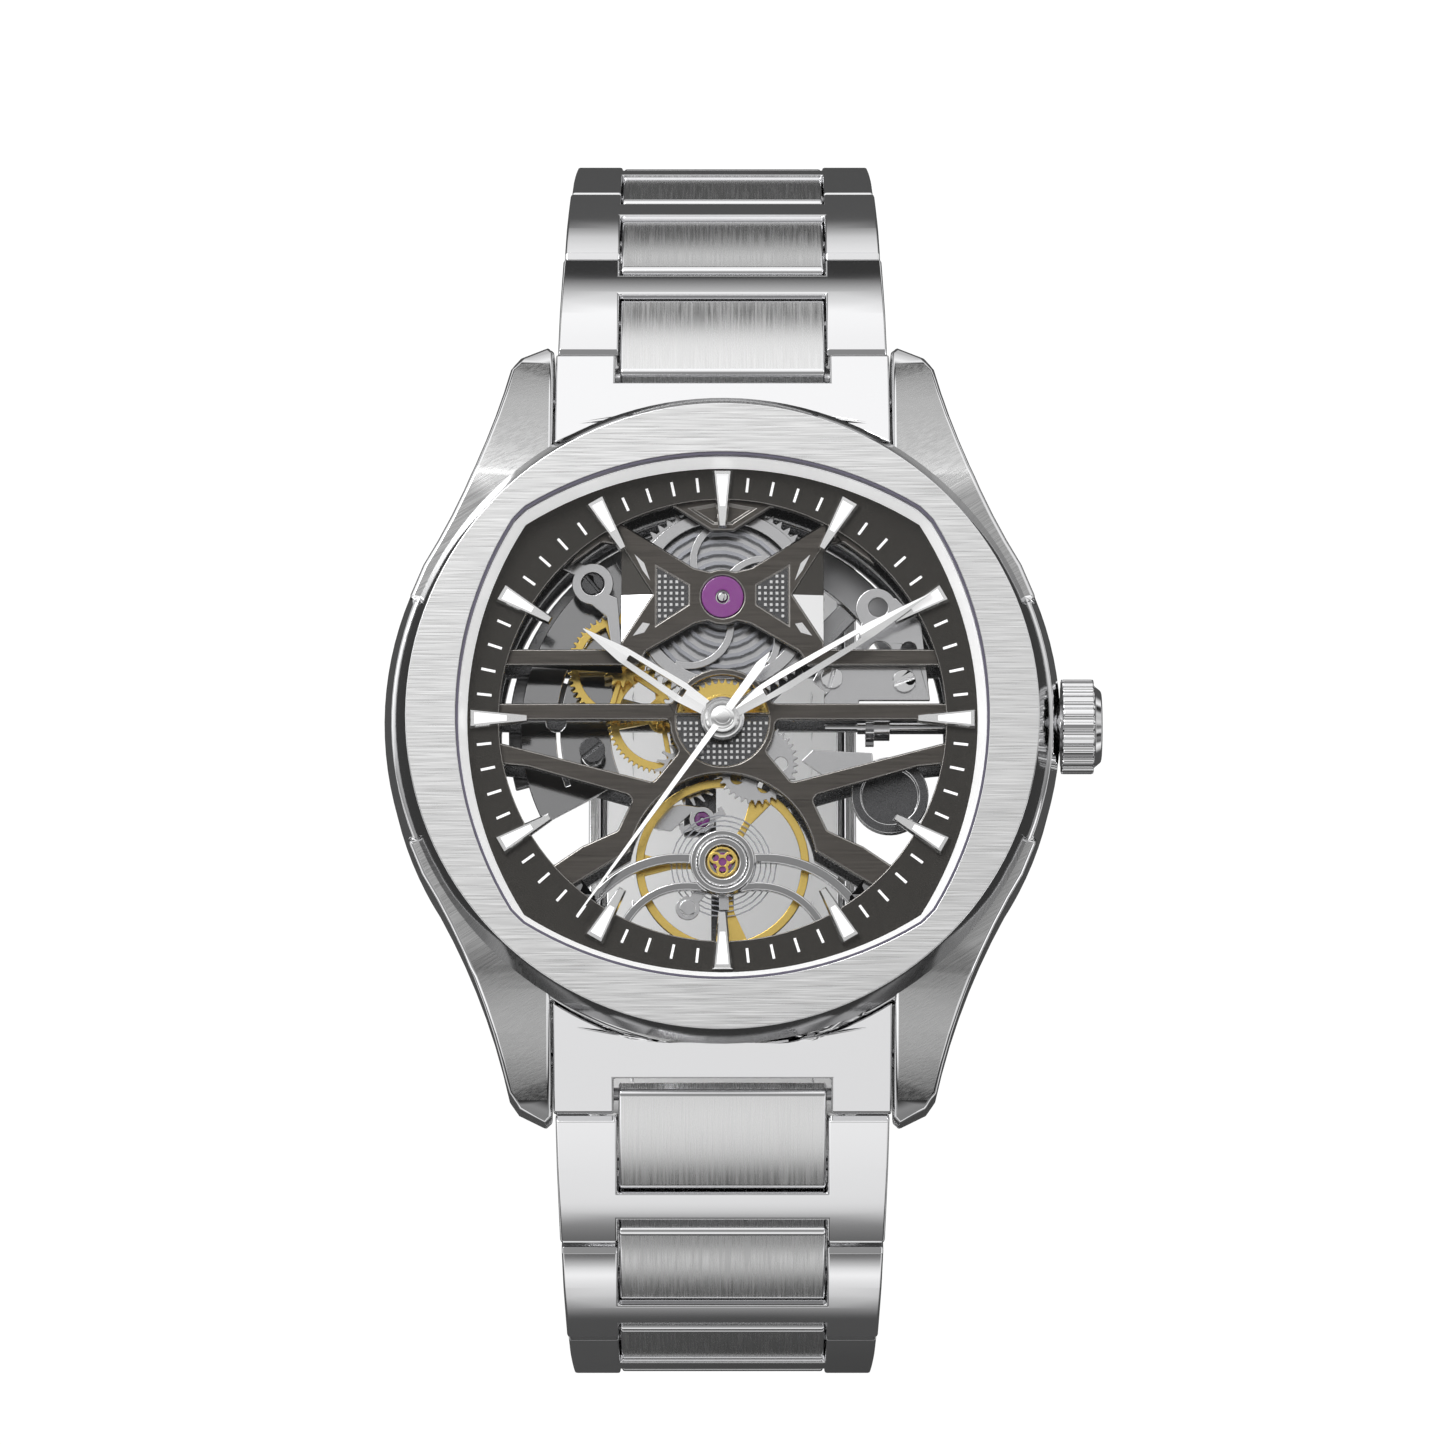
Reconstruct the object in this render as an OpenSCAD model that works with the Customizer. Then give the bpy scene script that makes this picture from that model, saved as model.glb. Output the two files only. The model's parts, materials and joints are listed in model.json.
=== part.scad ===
// Skeleton wristwatch with an H-link bracelet, in millimetres.
// Origin: centre of the case back's outer face. +Z points to the crystal,
// +Y to 12 o'clock and +X to the crown.

/* [Case] */
// Radius of the round case middle
case_r = 21; // [20.8:0.1:21.2]
// Top of the bezel above the case back
bezel_top = 10.9; // [10.9:0.1:11.1]
// Radius of the bezel's flat top
bezel_r = 19.58; // [19.3:0.1:19.8]
// Half width of the cushion-shaped window in the bezel
window_half = 16.5; // [16.4:0.05:16.6]
// Half distance between the inner faces of a pair of lugs
lug_half_gap = 10.6; // [10.6:0.05:10.7]
// Height of the crown's axis above the case back
crown_z = 5.9; // [5.8:0.05:6]

/* [Dial side] */
// Inner radius of the chapter ring
ring_in = 13.86; // [13.8:0.02:13.9]
// Length of the hour hand from its axis
hour_len = 10.3; // [9.5:0.1:10.6]
// Length of the minute hand from its axis
minute_len = 15.1; // [14.5:0.1:15.2]
// Length of the seconds hand from its axis
seconds_len = 15.3; // [14.5:0.1:15.4]

/* [Movement] */
// Distance from the centre to the balance's axis
balance_y = -8.8; // [-8.9:0.1:-8.7]
// Outer radius of the balance rim
balance_r = 5.4; // [5.2:0.1:5.5]
// Outer radius of the winding rotor
rotor_r = 13.4; // [13:0.1:13.6]

/* [Bracelet] */
// Distance between the hinge pins of one row
pitch = 8.74; // [8.7:0.02:8.78]
// Thickness of a link
link_t = 3.2; // [3.1:0.1:3.2]
// Width of the brushed centre links
centre_w = 12.9; // [12.8:0.05:12.95]
// Width of the first row where it leaves the case
row_w = 20.8; // [20.6:0.1:20.9]
// Loss of width over one row
taper = 0.62; // [0.5:0.02:0.7]

/* [Hidden] */
$fn = 96;
eps = 0.02;

// Heights of the layers, from the case back up
back_rim_z = 0.9;
rotor_z = 2.1;
plate_z = 3.4;
plate_t = 0.8;
fourth_z = 4.4;
third_z = 4.85;
second_z = 5.35;
barrel_z = 6;
cannon_z = 7;
hour_wheel_z = 7.4;
bridge_z = 7.8;
bridge_t = 0.6;
bridge_top = bridge_z + bridge_t;
ring_z = 8.42;
ring_t = 0.4;
case_top = bezel_top - 1.9;
crystal_z = 10.05;
hour_hand_z = 9.02;
minute_hand_z = 9.42;
seconds_hand_z = 9.76;

// Plan positions of the train: [x, y]
barrel_y = 7.8;
barrel_at = [0, barrel_y];
second_at = [-6.2, 3.76];
third_at = [-3.77, 0.63];
escape_at = [-2.18, -2.87];
pallet_at = [-1.27, -5.84];
balance_at = [0, balance_y];
minute_at = [2.121, -2.528];

// Tooth counts, wheel first and pinion second
barrel_n = 62;
centre_n = 16;
second_pinion_n = 12;
second_n = 54;
third_pinion_n = 9;
third_n = 60;
seconds_pinion_n = 8;
fourth_n = 72;
escape_pinion_n = 8;
cannon_n = 12;
minute_n = 36;
minute_pinion_n = 10;
hour_n = 40;

function polar(r, a) = [r * cos(a), r * sin(a)];
function span(a, b) = norm(b - a);
function heading(a, b) = atan2(b[1] - a[1], b[0] - a[0]);
function arc(c, r, a0, a1, n) = [for (i = [0:n]) c + polar(r, a0 + (a1 - a0) * i / n)];
// Module of two wheels that mesh at a distance d
function module_of(d, n1, n2) = 2 * d / (n1 + n2);
// Turn of wheel 2 that puts its gap on the tooth of wheel 1
function mesh_turn(dir, n1, turn1, n2) = dir + 180 + ((dir - turn1) * n1 / 360 - 0.5) * 360 / n2;
// Clock time to an angle from +X
function clock(a) = 90 - a;

m_barrel = module_of(barrel_y, barrel_n, centre_n);
m_second = module_of(span(second_at, third_at), second_n, third_pinion_n);
m_third = module_of(norm(third_at), third_n, seconds_pinion_n);
m_fourth = module_of(norm(escape_at), fourth_n, escape_pinion_n);
m_cannon = module_of(norm(minute_at), cannon_n, minute_n);
m_hour = module_of(norm(minute_at), minute_pinion_n, hour_n);

third_turn = mesh_turn(heading([0, 0], third_at), seconds_pinion_n, 0, third_n);
second_turn = mesh_turn(heading(third_at, second_at), third_pinion_n, 0, second_n);
barrel_turn = mesh_turn(heading(second_at, barrel_at), second_pinion_n, 0, barrel_n);
centre_turn = mesh_turn(heading(barrel_at, [0, 0]), barrel_n, barrel_turn, centre_n);
escape_turn = mesh_turn(heading([0, 0], escape_at), fourth_n, 0, escape_pinion_n);
minute_turn = mesh_turn(heading([0, 0], minute_at), cannon_n, 0, minute_n);
hour_turn = mesh_turn(heading(minute_at, [0, 0]), minute_pinion_n, 0, hour_n);

// Tooth outline: [share of a tooth pitch, height in modules]
TOOTH = [[-0.33, -1.15], [-0.19, -0.1], [-0.07, 0.8], [0.07, 0.8], [0.19, -0.1], [0.33, -1.15]];
function gear_points(n, m) = [for (i = [0:n - 1]) for (p = TOOTH)
    polar(n * m / 2 + p[1] * m, (i + p[0]) * 360 / n)];

module gear(n, m, h, turn = 0) {
    rotate(turn) linear_extrude(h) polygon(gear_points(n, m));
}
module disc(r, z, h) {
    translate([0, 0, z]) cylinder(r = r, h = h);
}
module washer(ro, ri, z, h) {
    difference() {
        disc(ro, z, h);
        disc(ri, z - 1, h + 2);
    }
}
module at(p) {
    translate([p[0], p[1], 0]) children();
}
module both_sides() {
    children();
    mirror([1, 0, 0]) children();
}
// A pin or bore along X through the point [y, z]
module cross_pin(p, r, len) {
    translate([-len / 2, p[0], p[1]]) rotate([0, 90, 0]) cylinder(r = r, h = len, $fn = 48);
}
// Spoked wheel: toothed rim, spokes and hub
module spoked_wheel(n, m, h, turn, spokes, rim, hub) {
    ri = n * m / 2 - rim;
    difference() {
        gear(n, m, h, turn);
        disc(ri, -1, h + 2);
    }
    disc(hub, 0, h);
    for (i = [0:spokes - 1]) rotate(turn + i * 360 / spokes)
        translate([0, -0.16, 0]) cube([ri + 0.05, 0.32, h]);
}

// ---- Case ----

// Cushion: four wide arcs that meet at blunted corners
side_offset = 7;
corner_cut = 1.4;
module cushion(half) {
    intersection() {
        circle(r = half + corner_cut);
        intersection_for(a = [0:90:270])
            rotate(a) translate([-side_offset, 0]) circle(r = half + side_offset, $fn = 256);
    }
}
// Solid cushion that narrows from half1 to half2
module cushion_cone(half1, half2, h) {
    intersection_for(a = [0:90:270]) rotate(a) translate([-side_offset, 0, 0])
        cylinder(r1 = half1 + side_offset, r2 = half2 + side_offset, h = h, $fn = 256);
}

lug_root = [18.6, 9.75];
lug_waist = [13.3, 22.9];
lug_curve_r = 43;
lug_chord = span(lug_waist, lug_root);
lug_mid = (lug_root + lug_waist) / 2;
lug_normal = [lug_root[1] - lug_waist[1], lug_waist[0] - lug_root[0]] / -lug_chord;
lug_centre = lug_mid + lug_normal * sqrt(pow(lug_curve_r, 2) - pow(lug_chord / 2, 2));
module lug_outline() {
    polygon(concat([[lug_half_gap, 14], [lug_half_gap, 24.3], [11, 24.7], [12.7, 23.8]],
        arc(lug_centre, lug_curve_r, heading(lug_centre, lug_waist),
            heading(lug_centre, lug_root), 8), [[19.5, 7.6], [12, 6]]));
}
// Side view of the case: y against z, with the lugs bent down
module case_side() {
    slope = [for (i = [0:6]) [15.5 + 7.8 * i / 6, case_top - 2.1 * i / 6 - 1.8 * pow(i / 6, 2)]];
    half = concat(slope, [[24.85, 3.4], [24.85, 1.2], [23.2, 0.1], [21, 0.2], [19.6, back_rim_z]]);
    polygon(concat(half, [for (i = [len(half) - 1:-1:0]) [-half[i][0], half[i][1]]]));
}
spring_bar_at = [20.75, 4.4];
module case_middle() {
    color("silver") difference() {
        intersection() {
            union() {
                rotate_extrude($fn = 256) polygon([[0, 0], [case_r, 0], [case_r, 7.6],
                    [case_r - 0.5, case_top], [0, case_top]]);
                linear_extrude(case_top) both_sides() {
                    lug_outline();
                    mirror([0, 1]) lug_outline();
                }
            }
            rotate([90, 0, 90]) translate([0, 0, -30]) linear_extrude(60) case_side();
        }
        disc(17.95, -1, case_top + 2);
        for (s = [-1, 1]) {
            difference() {
                translate([-lug_half_gap, s > 0 ? 10 : -26, -1]) cube([2 * lug_half_gap, 16, 11]);
                disc(19.4, -2, 13);
                disc(20.38, 7.1, 4);
            }
            cross_pin([s * spring_bar_at[0], spring_bar_at[1]], 0.55, 23.6);
        }
        washer(18.8, 18.3, back_rim_z - 1, 1.4);
        translate([15, 0, crown_z]) rotate([0, 90, 0]) cylinder(r = 1.52, h = 8);
    }
}
module bezel() {
    color("silver") difference() {
        union() {
            translate([0, 0, case_top]) cylinder(r1 = 20.3, r2 = bezel_r + 0.12, h = 1.65, $fn = 256);
            translate([0, 0, case_top + 1.65])
                cylinder(r1 = bezel_r + 0.12, r2 = bezel_r, h = 0.25, $fn = 256);
        }
        translate([0, 0, case_top - 1]) linear_extrude(4) cushion(window_half);
    }
}
module crystal() {
    color("lightcyan", 0.3) translate([0, 0, crystal_z]) linear_extrude(0.8) cushion(window_half - 0.16);
}
module crystal_gasket() {
    color("indigo") translate([0, 0, crystal_z]) linear_extrude(0.78) difference() {
        cushion(window_half - 0.01);
        cushion(window_half - 0.15);
    }
}
module flange_ring() {
    top = crystal_z - eps;
    bottom = ring_z + ring_t + 0.01;
    color("white") difference() {
        translate([0, 0, bottom]) linear_extrude(top - bottom) cushion(window_half - 0.02);
        translate([0, 0, bottom - 0.001]) cushion_cone(15.82, window_half - 0.22, top - bottom + 0.002);
    }
}
module chapter_ring() {
    color("dimgray") translate([0, 0, ring_z]) linear_extrude(ring_t) difference() {
        cushion(window_half - 0.02);
        circle(r = ring_in, $fn = 256);
    }
}
// Tapered baton, long axis on +X: wide at the rim, narrow towards the centre
module index_baton(r0, len) {
    translate([r0, 0, 0]) difference() {
        linear_extrude(0.5) polygon([[0, -0.25], [len, -0.65], [len, 0.65], [0, 0.25]]);
        translate([len * 0.35, 0, 0.35]) linear_extrude(1)
            polygon([[0, -0.16], [len * 0.6, -0.34], [len * 0.6, 0.34], [0, 0.16]]);
    }
}
module hour_indices() {
    color("whitesmoke") for (i = [0:11])
        translate([0, 0, ring_z + ring_t]) rotate(i * 30)
            index_baton(i % 3 == 0 ? 12.05 : 12.3, 3.6);
}

// ---- Dial bridge ----

aperture_at = [0, -9.1];
aperture_r = 5.8;
// Radius of the windows' inner corners
window_round = 0.35;
// Waffle panel of the bow-tie, the sunk triangle at its end and the keystone's field
panel = [[-4.1, 9.69], [-2.13, 8.53], [-2.13, 7.32], [-4.1, 6.04]];
facet_pocket = [[-7, 12.1], [-4.36, 7.93], [-7, 3.86]];
keystone_field = [[0.01, 12.45], [-0.55, 12.45], [-1.9, 13.35], [0.01, 13.7]];
// Left half of the openwork; the right half is its mirror image
module bow_tie() {
    polygon([[0.01, 9.2], [-1.79, 9.64], [-6.36, 12.48], [-6.3, 11.03], [-6.3, 4.94], [-5.16, 4.13],
        [-1.73, 6.1], [0.01, 6.5]]);
    polygon([[-6.3, 11.03], [-7.5, 11.25], [-9.5, 9.8], [-8.2, 12.5], [-6.3, 12.6]]);
    circle(r = 1.75);
}
module keystone() {
    polygon([[0.01, 12], [-0.7, 12], [-3.2, 13.6], [0.01, 14.2]]);
}
module side_bars() {
    polygon([[-13.95, 3.47], [-5.3, 3.47], [-4.6, 4.6], [-6.1, 4.5], [-13.95, 4.5]]);
    polygon([[-14.1, 0.05], [-3.1, 0.05], [-3.1, 1.08], [-14.1, 1.08]]);
    polygon([[-14, -1.35], [-4.15, -3.9], [-2.7, -2.8], [-2, -5], [-5.86, -4.65], [-12, -2.9], [-14, -2.7]]);
    polygon([[-5.86, -4.65], [-5.6, -5], [-6.5, -6.9], [-8.7, -7.9], [-10.9, -9.4], [-9.9, -10.7],
        [-5.3, -7.9], [-4.5, -5.5], [-4, -4.4]]);
}
module bridge_outline() {
    difference() {
        offset(r = -window_round, $fn = 32) offset(delta = window_round) union() {
            both_sides() {
                side_bars();
                keystone();
                bow_tie();
            }
            translate(barrel_at) circle(r = 1.75);
            circle(r = 3.3);
            polygon([[-2.88, -2.16], [-4.3, -3.9], [-4.6, -5.2], [4.6, -5.2], [4.3, -3.9], [2.88, -2.16]]);
        }
        difference() {
            circle(r = 2.87);
            translate([-3, -3]) square([6, 3.5]);
        }
        circle(r = 1.2);
        translate(aperture_at) circle(r = aperture_r);
    }
}
module dial_bridge() {
    color("dimgray") difference() {
        translate([0, 0, bridge_z]) linear_extrude(bridge_t) {
            intersection() {
                bridge_outline();
                circle(r = 14.2);
            }
            difference() {
                cushion(window_half - 0.02);
                circle(r = ring_in + 0.02, $fn = 256);
            }
        }
        both_sides() {
            translate([0, 0, bridge_top - 0.15]) linear_extrude(1) {
                polygon(panel);
                polygon(keystone_field);
            }
            translate([0, 0, bridge_top - 0.35]) linear_extrude(1) intersection() {
                polygon(facet_pocket);
                translate([-6.5, 4.94]) square([3, 6.09]);
            }
        }
        translate([0, 0, bridge_top - 0.2]) linear_extrude(1) intersection() {
            circle(r = 2.87);
            translate([-3, -3]) square([6, 3.3]);
        }
        translate(barrel_at) disc(1.33, bridge_z + 0.3, 1);
        translate(barrel_at) disc(0.5, bridge_z - 1, 2);
        for (p = [second_at, third_at]) at(p) disc(0.14, bridge_z - 0.5, 0.75);
        at(minute_at) disc(0.3, bridge_z - 0.5, 0.75);
    }
}
module dial_jewels() {
    color("purple") {
        at(barrel_at) washer(1.31, 0.43, bridge_z + 0.31, 0.3);
        at(pallet_at) washer(0.46, 0.13, 5.72, 0.27);
    }
}

// ---- Plates and bridges ----

module main_plate() {
    color("silver") difference() {
        translate([0, 0, plate_z]) linear_extrude(plate_t) {
            difference() {
                circle(r = 15.05);
                circle(r = 14);
            }
            intersection() {
                circle(r = 14.5);
                difference() {
                    both_sides() side_bars();
                    translate(aperture_at) circle(r = aperture_r);
                }
            }
            circle(r = 3.3);
            translate(escape_at) circle(r = 1.1);
            translate([-0.7, -14.5]) square([1.4, 6.4]);
            translate(balance_at) circle(r = 1.2);
            translate(barrel_at) circle(r = 1.6);
            translate([-0.6, 2.5]) square([1.2, 12]);
            translate([-2.4, -6.6]) square([2, 3.6]);
        }
        at([0, 0]) disc(0.26, plate_z - 1, 3);
        for (p = [second_at, third_at, escape_at, pallet_at, balance_at]) at(p) disc(0.14, plate_z - 1, 3);
        at(barrel_at) disc(0.55, plate_z - 1, 3);
    }
    color("silver") washer(0.9, 0.27, rotor_z - 0.1, plate_z - rotor_z + 0.2);
}
module casing_ring() {
    color("darkgray") difference() {
        washer(17.85, 15.1, 3, bridge_z - 3 - eps);
        translate([14, 0, crown_z]) rotate([0, 90, 0]) cylinder(r = 1.52, h = 5);
    }
    color("darkgray") washer(17.85, 14.7, 2.7, plate_z - 2.7 - eps);
}
module pallet_bridge() {
    color("silver") difference() {
        union() {
            translate([0, 0, 5.72]) linear_extrude(0.26) {
                translate(pallet_at) circle(r = 0.8);
                polygon([[-1.9, -5.4], [-3.2, -6.6], [-4.4, -6.4], [-4.2, -5.2], [-2.6, -4.9], [-1.2, -5.1]]);
            }
            translate([-3.85, -5.85, plate_z + plate_t]) cylinder(r = 0.45, h = 5.8 - plate_z - plate_t);
        }
        at(pallet_at) disc(0.48, 5, 2);
    }
}
// Curved arm: part of a ring of width w about c
module curved_arm(c, r, w, a0, a1) {
    polygon(concat(arc(c, r, a0, a1, 16), arc(c, r - w, a1, a0, 16)));
}
module balance_bridge() {
    color("silver") difference() {
        union() {
            translate([0, 0, 7.05]) linear_extrude(0.6) {
                translate(balance_at) circle(r = 2);
                both_sides() {
                    curved_arm([-2.6, -15.4], 7.2, 0.62, 62, 142);
                    curved_arm([-2.2, -14.6], 4.6, 0.52, 62, 166);
                    polygon([[-8.2, -10.9], [-9.8, -10.9], [-10.2, -9.6], [-9.1, -9.2]]);
                }
            }
            at(balance_at) disc(2, 7.05, 1);
            both_sides() translate([-9.3, -10.2, plate_z + plate_t])
                cylinder(r = 0.5, h = 7.2 - plate_z - plate_t);
        }
        at(balance_at) disc(1.05, 7.4, 1);
        at(balance_at) disc(0.3, 6, 2);
        at(balance_at) washer(1.62, 1.5, 7.95, 1);
    }
}
module regulator() {
    at(balance_at) color("silver") {
        difference() {
            translate([0, 0, 6.79]) linear_extrude(0.2) {
                circle(r = 1.5);
                rotate(232) translate([0, -0.35]) square([3.4, 0.7]);
                rotate(272) translate([0, -0.3]) square([2.9, 0.6]);
                rotate(232) translate([3.5, 0]) circle(r = 0.75);
            }
            disc(0.5, 6, 2);
        }
    }
    at(balance_at) color("gold") {
        rotate(232) translate([3.5, 0, 6.99]) cylinder(r = 0.5, h = 0.06);
    }
}
module shock_setting() {
    at(balance_at) {
        color("purple") disc(0.6, 7.62, 0.2);
        color("gold") translate([0, 0, 7.84]) linear_extrude(0.12) difference() {
            union() {
                circle(r = 0.45);
                for (a = [30, 150, 270]) rotate(a) translate([0.5, 0]) circle(r = 0.38);
            }
            circle(r = 0.25);
            for (a = [30, 150, 270]) rotate(a) translate([0.5, 0]) circle(r = 0.22);
        }
        color("gold") washer(0.95, 0.8, 7.41, 0.5);
    }
}
lever_screw = [-8.1, 8.9];
lower_screw = [-8.1, -1.6];
module left_plates() {
    color("gainsboro") {
        translate([0, 0, 6.59]) linear_extrude(0.3) difference() {
            union() {
                translate(lever_screw) circle(r = 1.3);
                polygon([[-7.3, 8.3], [-6.55, 8], [-6.45, 6.9], [-6.3, 5], [-6.9, 4.8], [-7.2, 6.8], [-8.3, 7.7]]);
                polygon([[-8.9, 9.3], [-10.3, 10], [-10, 10.7], [-8.4, 10]]);
            }
            translate(lever_screw) circle(r = 0.72);
        }
        translate([0, 0, plate_z + plate_t + 0.05]) linear_extrude(0.45) difference() {
            polygon(concat(arc([0, 0], 12.6, 122, 208, 32), arc([0, 0], 7, 208, 122, 32)));
            curved_arm([0, 0], 10.4, 0.25, 135, 200);
            translate(second_at) circle(r = 0.7);
            translate(lever_screw) circle(r = 1);
            translate(lower_screw) circle(r = 0.7);
            translate([-10.4, 0.5]) circle(r = 0.6);
        }
    }
}
module setting_plate() {
    left_plates();
    color("gainsboro") difference() {
        translate([0, 0, 7.15]) linear_extrude(0.35) difference() {
            union() {
                polygon([[7, 1.4], [12.9, 1.4], [12.4, 6.3], [10.8, 7.9], [8.9, 7.2], [8.2, 4.6], [6.2, 3.9],
                    [5.6, 2.6]]);
                polygon([[5.6, -1.7], [9.3, -1.9], [9.4, -2.9], [6.2, -3.3], [4.9, -2.4]]);
                translate([9.6, 7.2]) circle(r = 1.3);
                translate([7.4, 1.5]) circle(r = 1.1);
            }
            translate([9.8, 4.4]) circle(r = 0.75);
            translate([9.7, 7.3]) circle(r = 0.6);
            translate([11.6, 4.6]) circle(r = 0.5);
        }
        for (p = [[11.3, 2.6], [6.8, 2.8]]) at(p) disc(0.42, 7, 1);
    }
    color("gray") difference() {
        translate([10.4, -4.5, 6.2]) cylinder(r = 2.4, h = 0.9);
        translate([10.4, -4.5, 6.5]) cylinder(r = 1.8, h = 0.9);
    }
    color("gray") for (p = [[11.9, 5.8], [8.2, -2.5], [10.4, -4.5]])
        translate([p[0], p[1], plate_z + plate_t]) cylinder(r = 0.4, h = 2.1);
    color("gray") for (p = [[11.9, 5.8], [8.2, -2.5]])
        translate([p[0], p[1], 6.2]) cylinder(r = 0.4, h = 1);
}
// Slotted screw, head on +Z
module screw(p, z, r, shaft, turn) {
    at(p) difference() {
        union() {
            disc(r, z, 0.3);
            disc(shaft, z - 0.34, 0.4);
        }
        rotate(turn) translate([-r - 1, -0.09, z + 0.18]) cube([2 * r + 2, 0.18, 1]);
    }
}
module movement_screws() {
    color("lightsteelblue") {
        screw([11.3, 2.6], 7.52, 0.72, 0.36, 20);
        screw([6.8, 2.8], 7.52, 0.68, 0.36, 75);
        screw(lever_screw, 6.6, 0.68, 0.36, 130);
        screw(lower_screw, 6.6, 0.8, 0.36, 40);
    }
    color("gray") {
        at(lever_screw) washer(0.95, 0.38, plate_z + plate_t, 6.58 - plate_z - plate_t);
        at(lower_screw) washer(0.62, 0.38, plate_z + plate_t, 6.58 - plate_z - plate_t);
    }
}
module barrel_arbor() {
    at(barrel_at) color("silver") {
        disc(0.5, plate_z, bridge_z - plate_z + 0.25);
        disc(0.29, bridge_z, 0.62);
    }
}
module crown_tube() {
    color("silver") difference() {
        translate([16.9, 0, crown_z]) rotate([0, 90, 0]) cylinder(r = 1.5, h = 5.2);
        translate([16, 0, crown_z]) rotate([0, 90, 0]) cylinder(r = 0.8, h = 8);
    }
}
module case_back() {
    color("silver") difference() {
        union() {
            cylinder(r1 = 18.8, r2 = 19.3, h = 0.3);
            disc(19.3, 0.3, back_rim_z - 0.3 - 2 * eps);
            disc(17.9, 0.5, 1.9);
        }
        disc(14.5, -1, 5);
        for (i = [0:5]) rotate(i * 60) translate([17.2, 0, -0.1]) cylinder(r = 0.8, h = 0.5);
    }
    color("silver") washer(14.8, 13.9, 0, 0.3);
}
module back_glass() {
    color("lightcyan", 0.3) {
        disc(13.85, 0, 0.4);
        disc(14.45, 0.33, 0.9);
    }
}
module back_gasket() {
    color("black") washer(18.75, 18.35, back_rim_z - eps, 0.34);
}

// ---- Winding and train ----

module crown() {
    translate([21.1, 0, crown_z]) rotate([0, 90, 0]) color("silver") difference() {
        union() {
            linear_extrude(2) difference() {
                circle(r = 2.95);
                for (i = [0:19]) rotate(i * 18) translate([3.05, 0]) circle(r = 0.26, $fn = 24);
            }
            translate([0, 0, 2]) cylinder(r1 = 2.6, r2 = 2.2, h = 0.5);
        }
        translate([0, 0, -1]) cylinder(r = 1.6, h = 2.2);
        translate([0, 0, 1]) cylinder(r = 0.48, h = 0.8);
    }
}
module stem() {
    translate([6.4, 0, crown_z]) rotate([0, 90, 0]) color("silver") {
        cylinder(r = 0.3, h = 3);
        translate([0, 0, 2]) cylinder(r = 0.46, h = 14.4);
    }
}
module crown_gasket() {
    translate([19, 0, crown_z]) rotate([0, 90, 0]) color("black") washer(0.76, 0.5, 0, 0.8);
}
module face_pinion(x, len, teeth, r, bore) {
    translate([x, 0, crown_z]) rotate([0, 90, 0]) difference() {
        union() {
            cylinder(r = r * 0.7, h = len);
            gear(teeth, 2 * r / (teeth + 1.6), len * 0.35);
        }
        translate([0, 0, -1]) cylinder(r = bore, h = len + 2);
    }
}
module sliding_pinion() {
    color("silver") face_pinion(8.9, 1.5, 14, 1.25, 0.5);
}
module barrel() {
    at(barrel_at) color("silver") {
        translate([0, 0, barrel_z]) difference() {
            union() {
                gear(barrel_n, m_barrel, 0.5, barrel_turn);
                disc(5.7, 0, 1.2);
            }
            disc(5.3, 0.2, 0.8);
            disc(0.56, -1, 4);
            difference() {
                washer(4.95, 1.5, 0.9, 1);
                for (i = [0:4]) rotate(i * 72) linear_extrude(3) curved_arm([2.6, 0], 2.85, 0.45, 35, 180);
            }
        }
    }
}
// Coiled blade in a flat spiral of square section
function spiral(r0, r1, turns, n) = [for (i = [0:n]) polar(r0 + (r1 - r0) * i / n, 360 * turns * i / n)];
module spiral_strip(r0, r1, turns, t, n) {
    polygon(concat(spiral(r0, r1, turns, n),
        [for (i = [n:-1:0]) polar(r0 + t + (r1 - r0) * i / n, 360 * turns * i / n)]));
}
module mainspring() {
    at(barrel_at) color("lightsteelblue") translate([0, 0, barrel_z + 0.25])
        linear_extrude(0.55) spiral_strip(0.8, 4.9, 6, 0.22, 150);
}
module arbor(z0, z1, r) {
    disc(r, z0, z1 - z0);
}
module second_wheel() {
    at(second_at) color("gold") {
        translate([0, 0, second_z]) spoked_wheel(second_n, m_second, 0.3, second_turn, 5, 0.6, 0.9);
        translate([0, 0, second_z]) gear(second_pinion_n, m_barrel, 1.1);
        arbor(plate_z + 0.1, bridge_z + 0.2, 0.1);
        arbor(plate_z + plate_t + 0.05, bridge_z - 0.1, 0.25);
    }
}
module third_wheel() {
    at(third_at) color("gold") {
        translate([0, 0, third_z]) spoked_wheel(third_n, m_third, 0.3, third_turn, 4, 0.6, 0.9);
        translate([0, 0, third_z]) gear(third_pinion_n, m_second, 0.85);
        arbor(plate_z + 0.1, bridge_z + 0.2, 0.1);
        arbor(plate_z + plate_t + 0.05, bridge_z - 0.1, 0.2);
    }
}
module seconds_arbor() {
    color("gold") {
        translate([0, 0, fourth_z]) spoked_wheel(fourth_n, m_fourth, 0.22, 0, 4, 0.5, 0.7);
        translate([0, 0, fourth_z]) gear(seconds_pinion_n, m_third, 0.85);
        arbor(plate_z - 0.05, seconds_hand_z + 0.14, 0.17);
    }
}
module escape_wheel() {
    at(escape_at) color("silver") {
        translate([0, 0, 5.35]) difference() {
            linear_extrude(0.22) polygon([for (i = [0:19])
                for (p = [[0, 1.55], [0.25, 1.62], [0.62, 2.08], [0.8, 2.08], [0.72, 1.55]])
                    polar(p[1], (i + p[0]) * 18)]);
            difference() {
                disc(1.35, -1, 3);
                disc(0.55, -2, 5);
                for (i = [0:3]) rotate(i * 90) translate([0, -0.13, -2]) cube([2, 0.26, 5]);
            }
        }
        translate([0, 0, fourth_z]) gear(escape_pinion_n, m_fourth, 0.3, escape_turn);
        arbor(plate_z + 0.1, 5.75, 0.1);
    }
}
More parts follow.
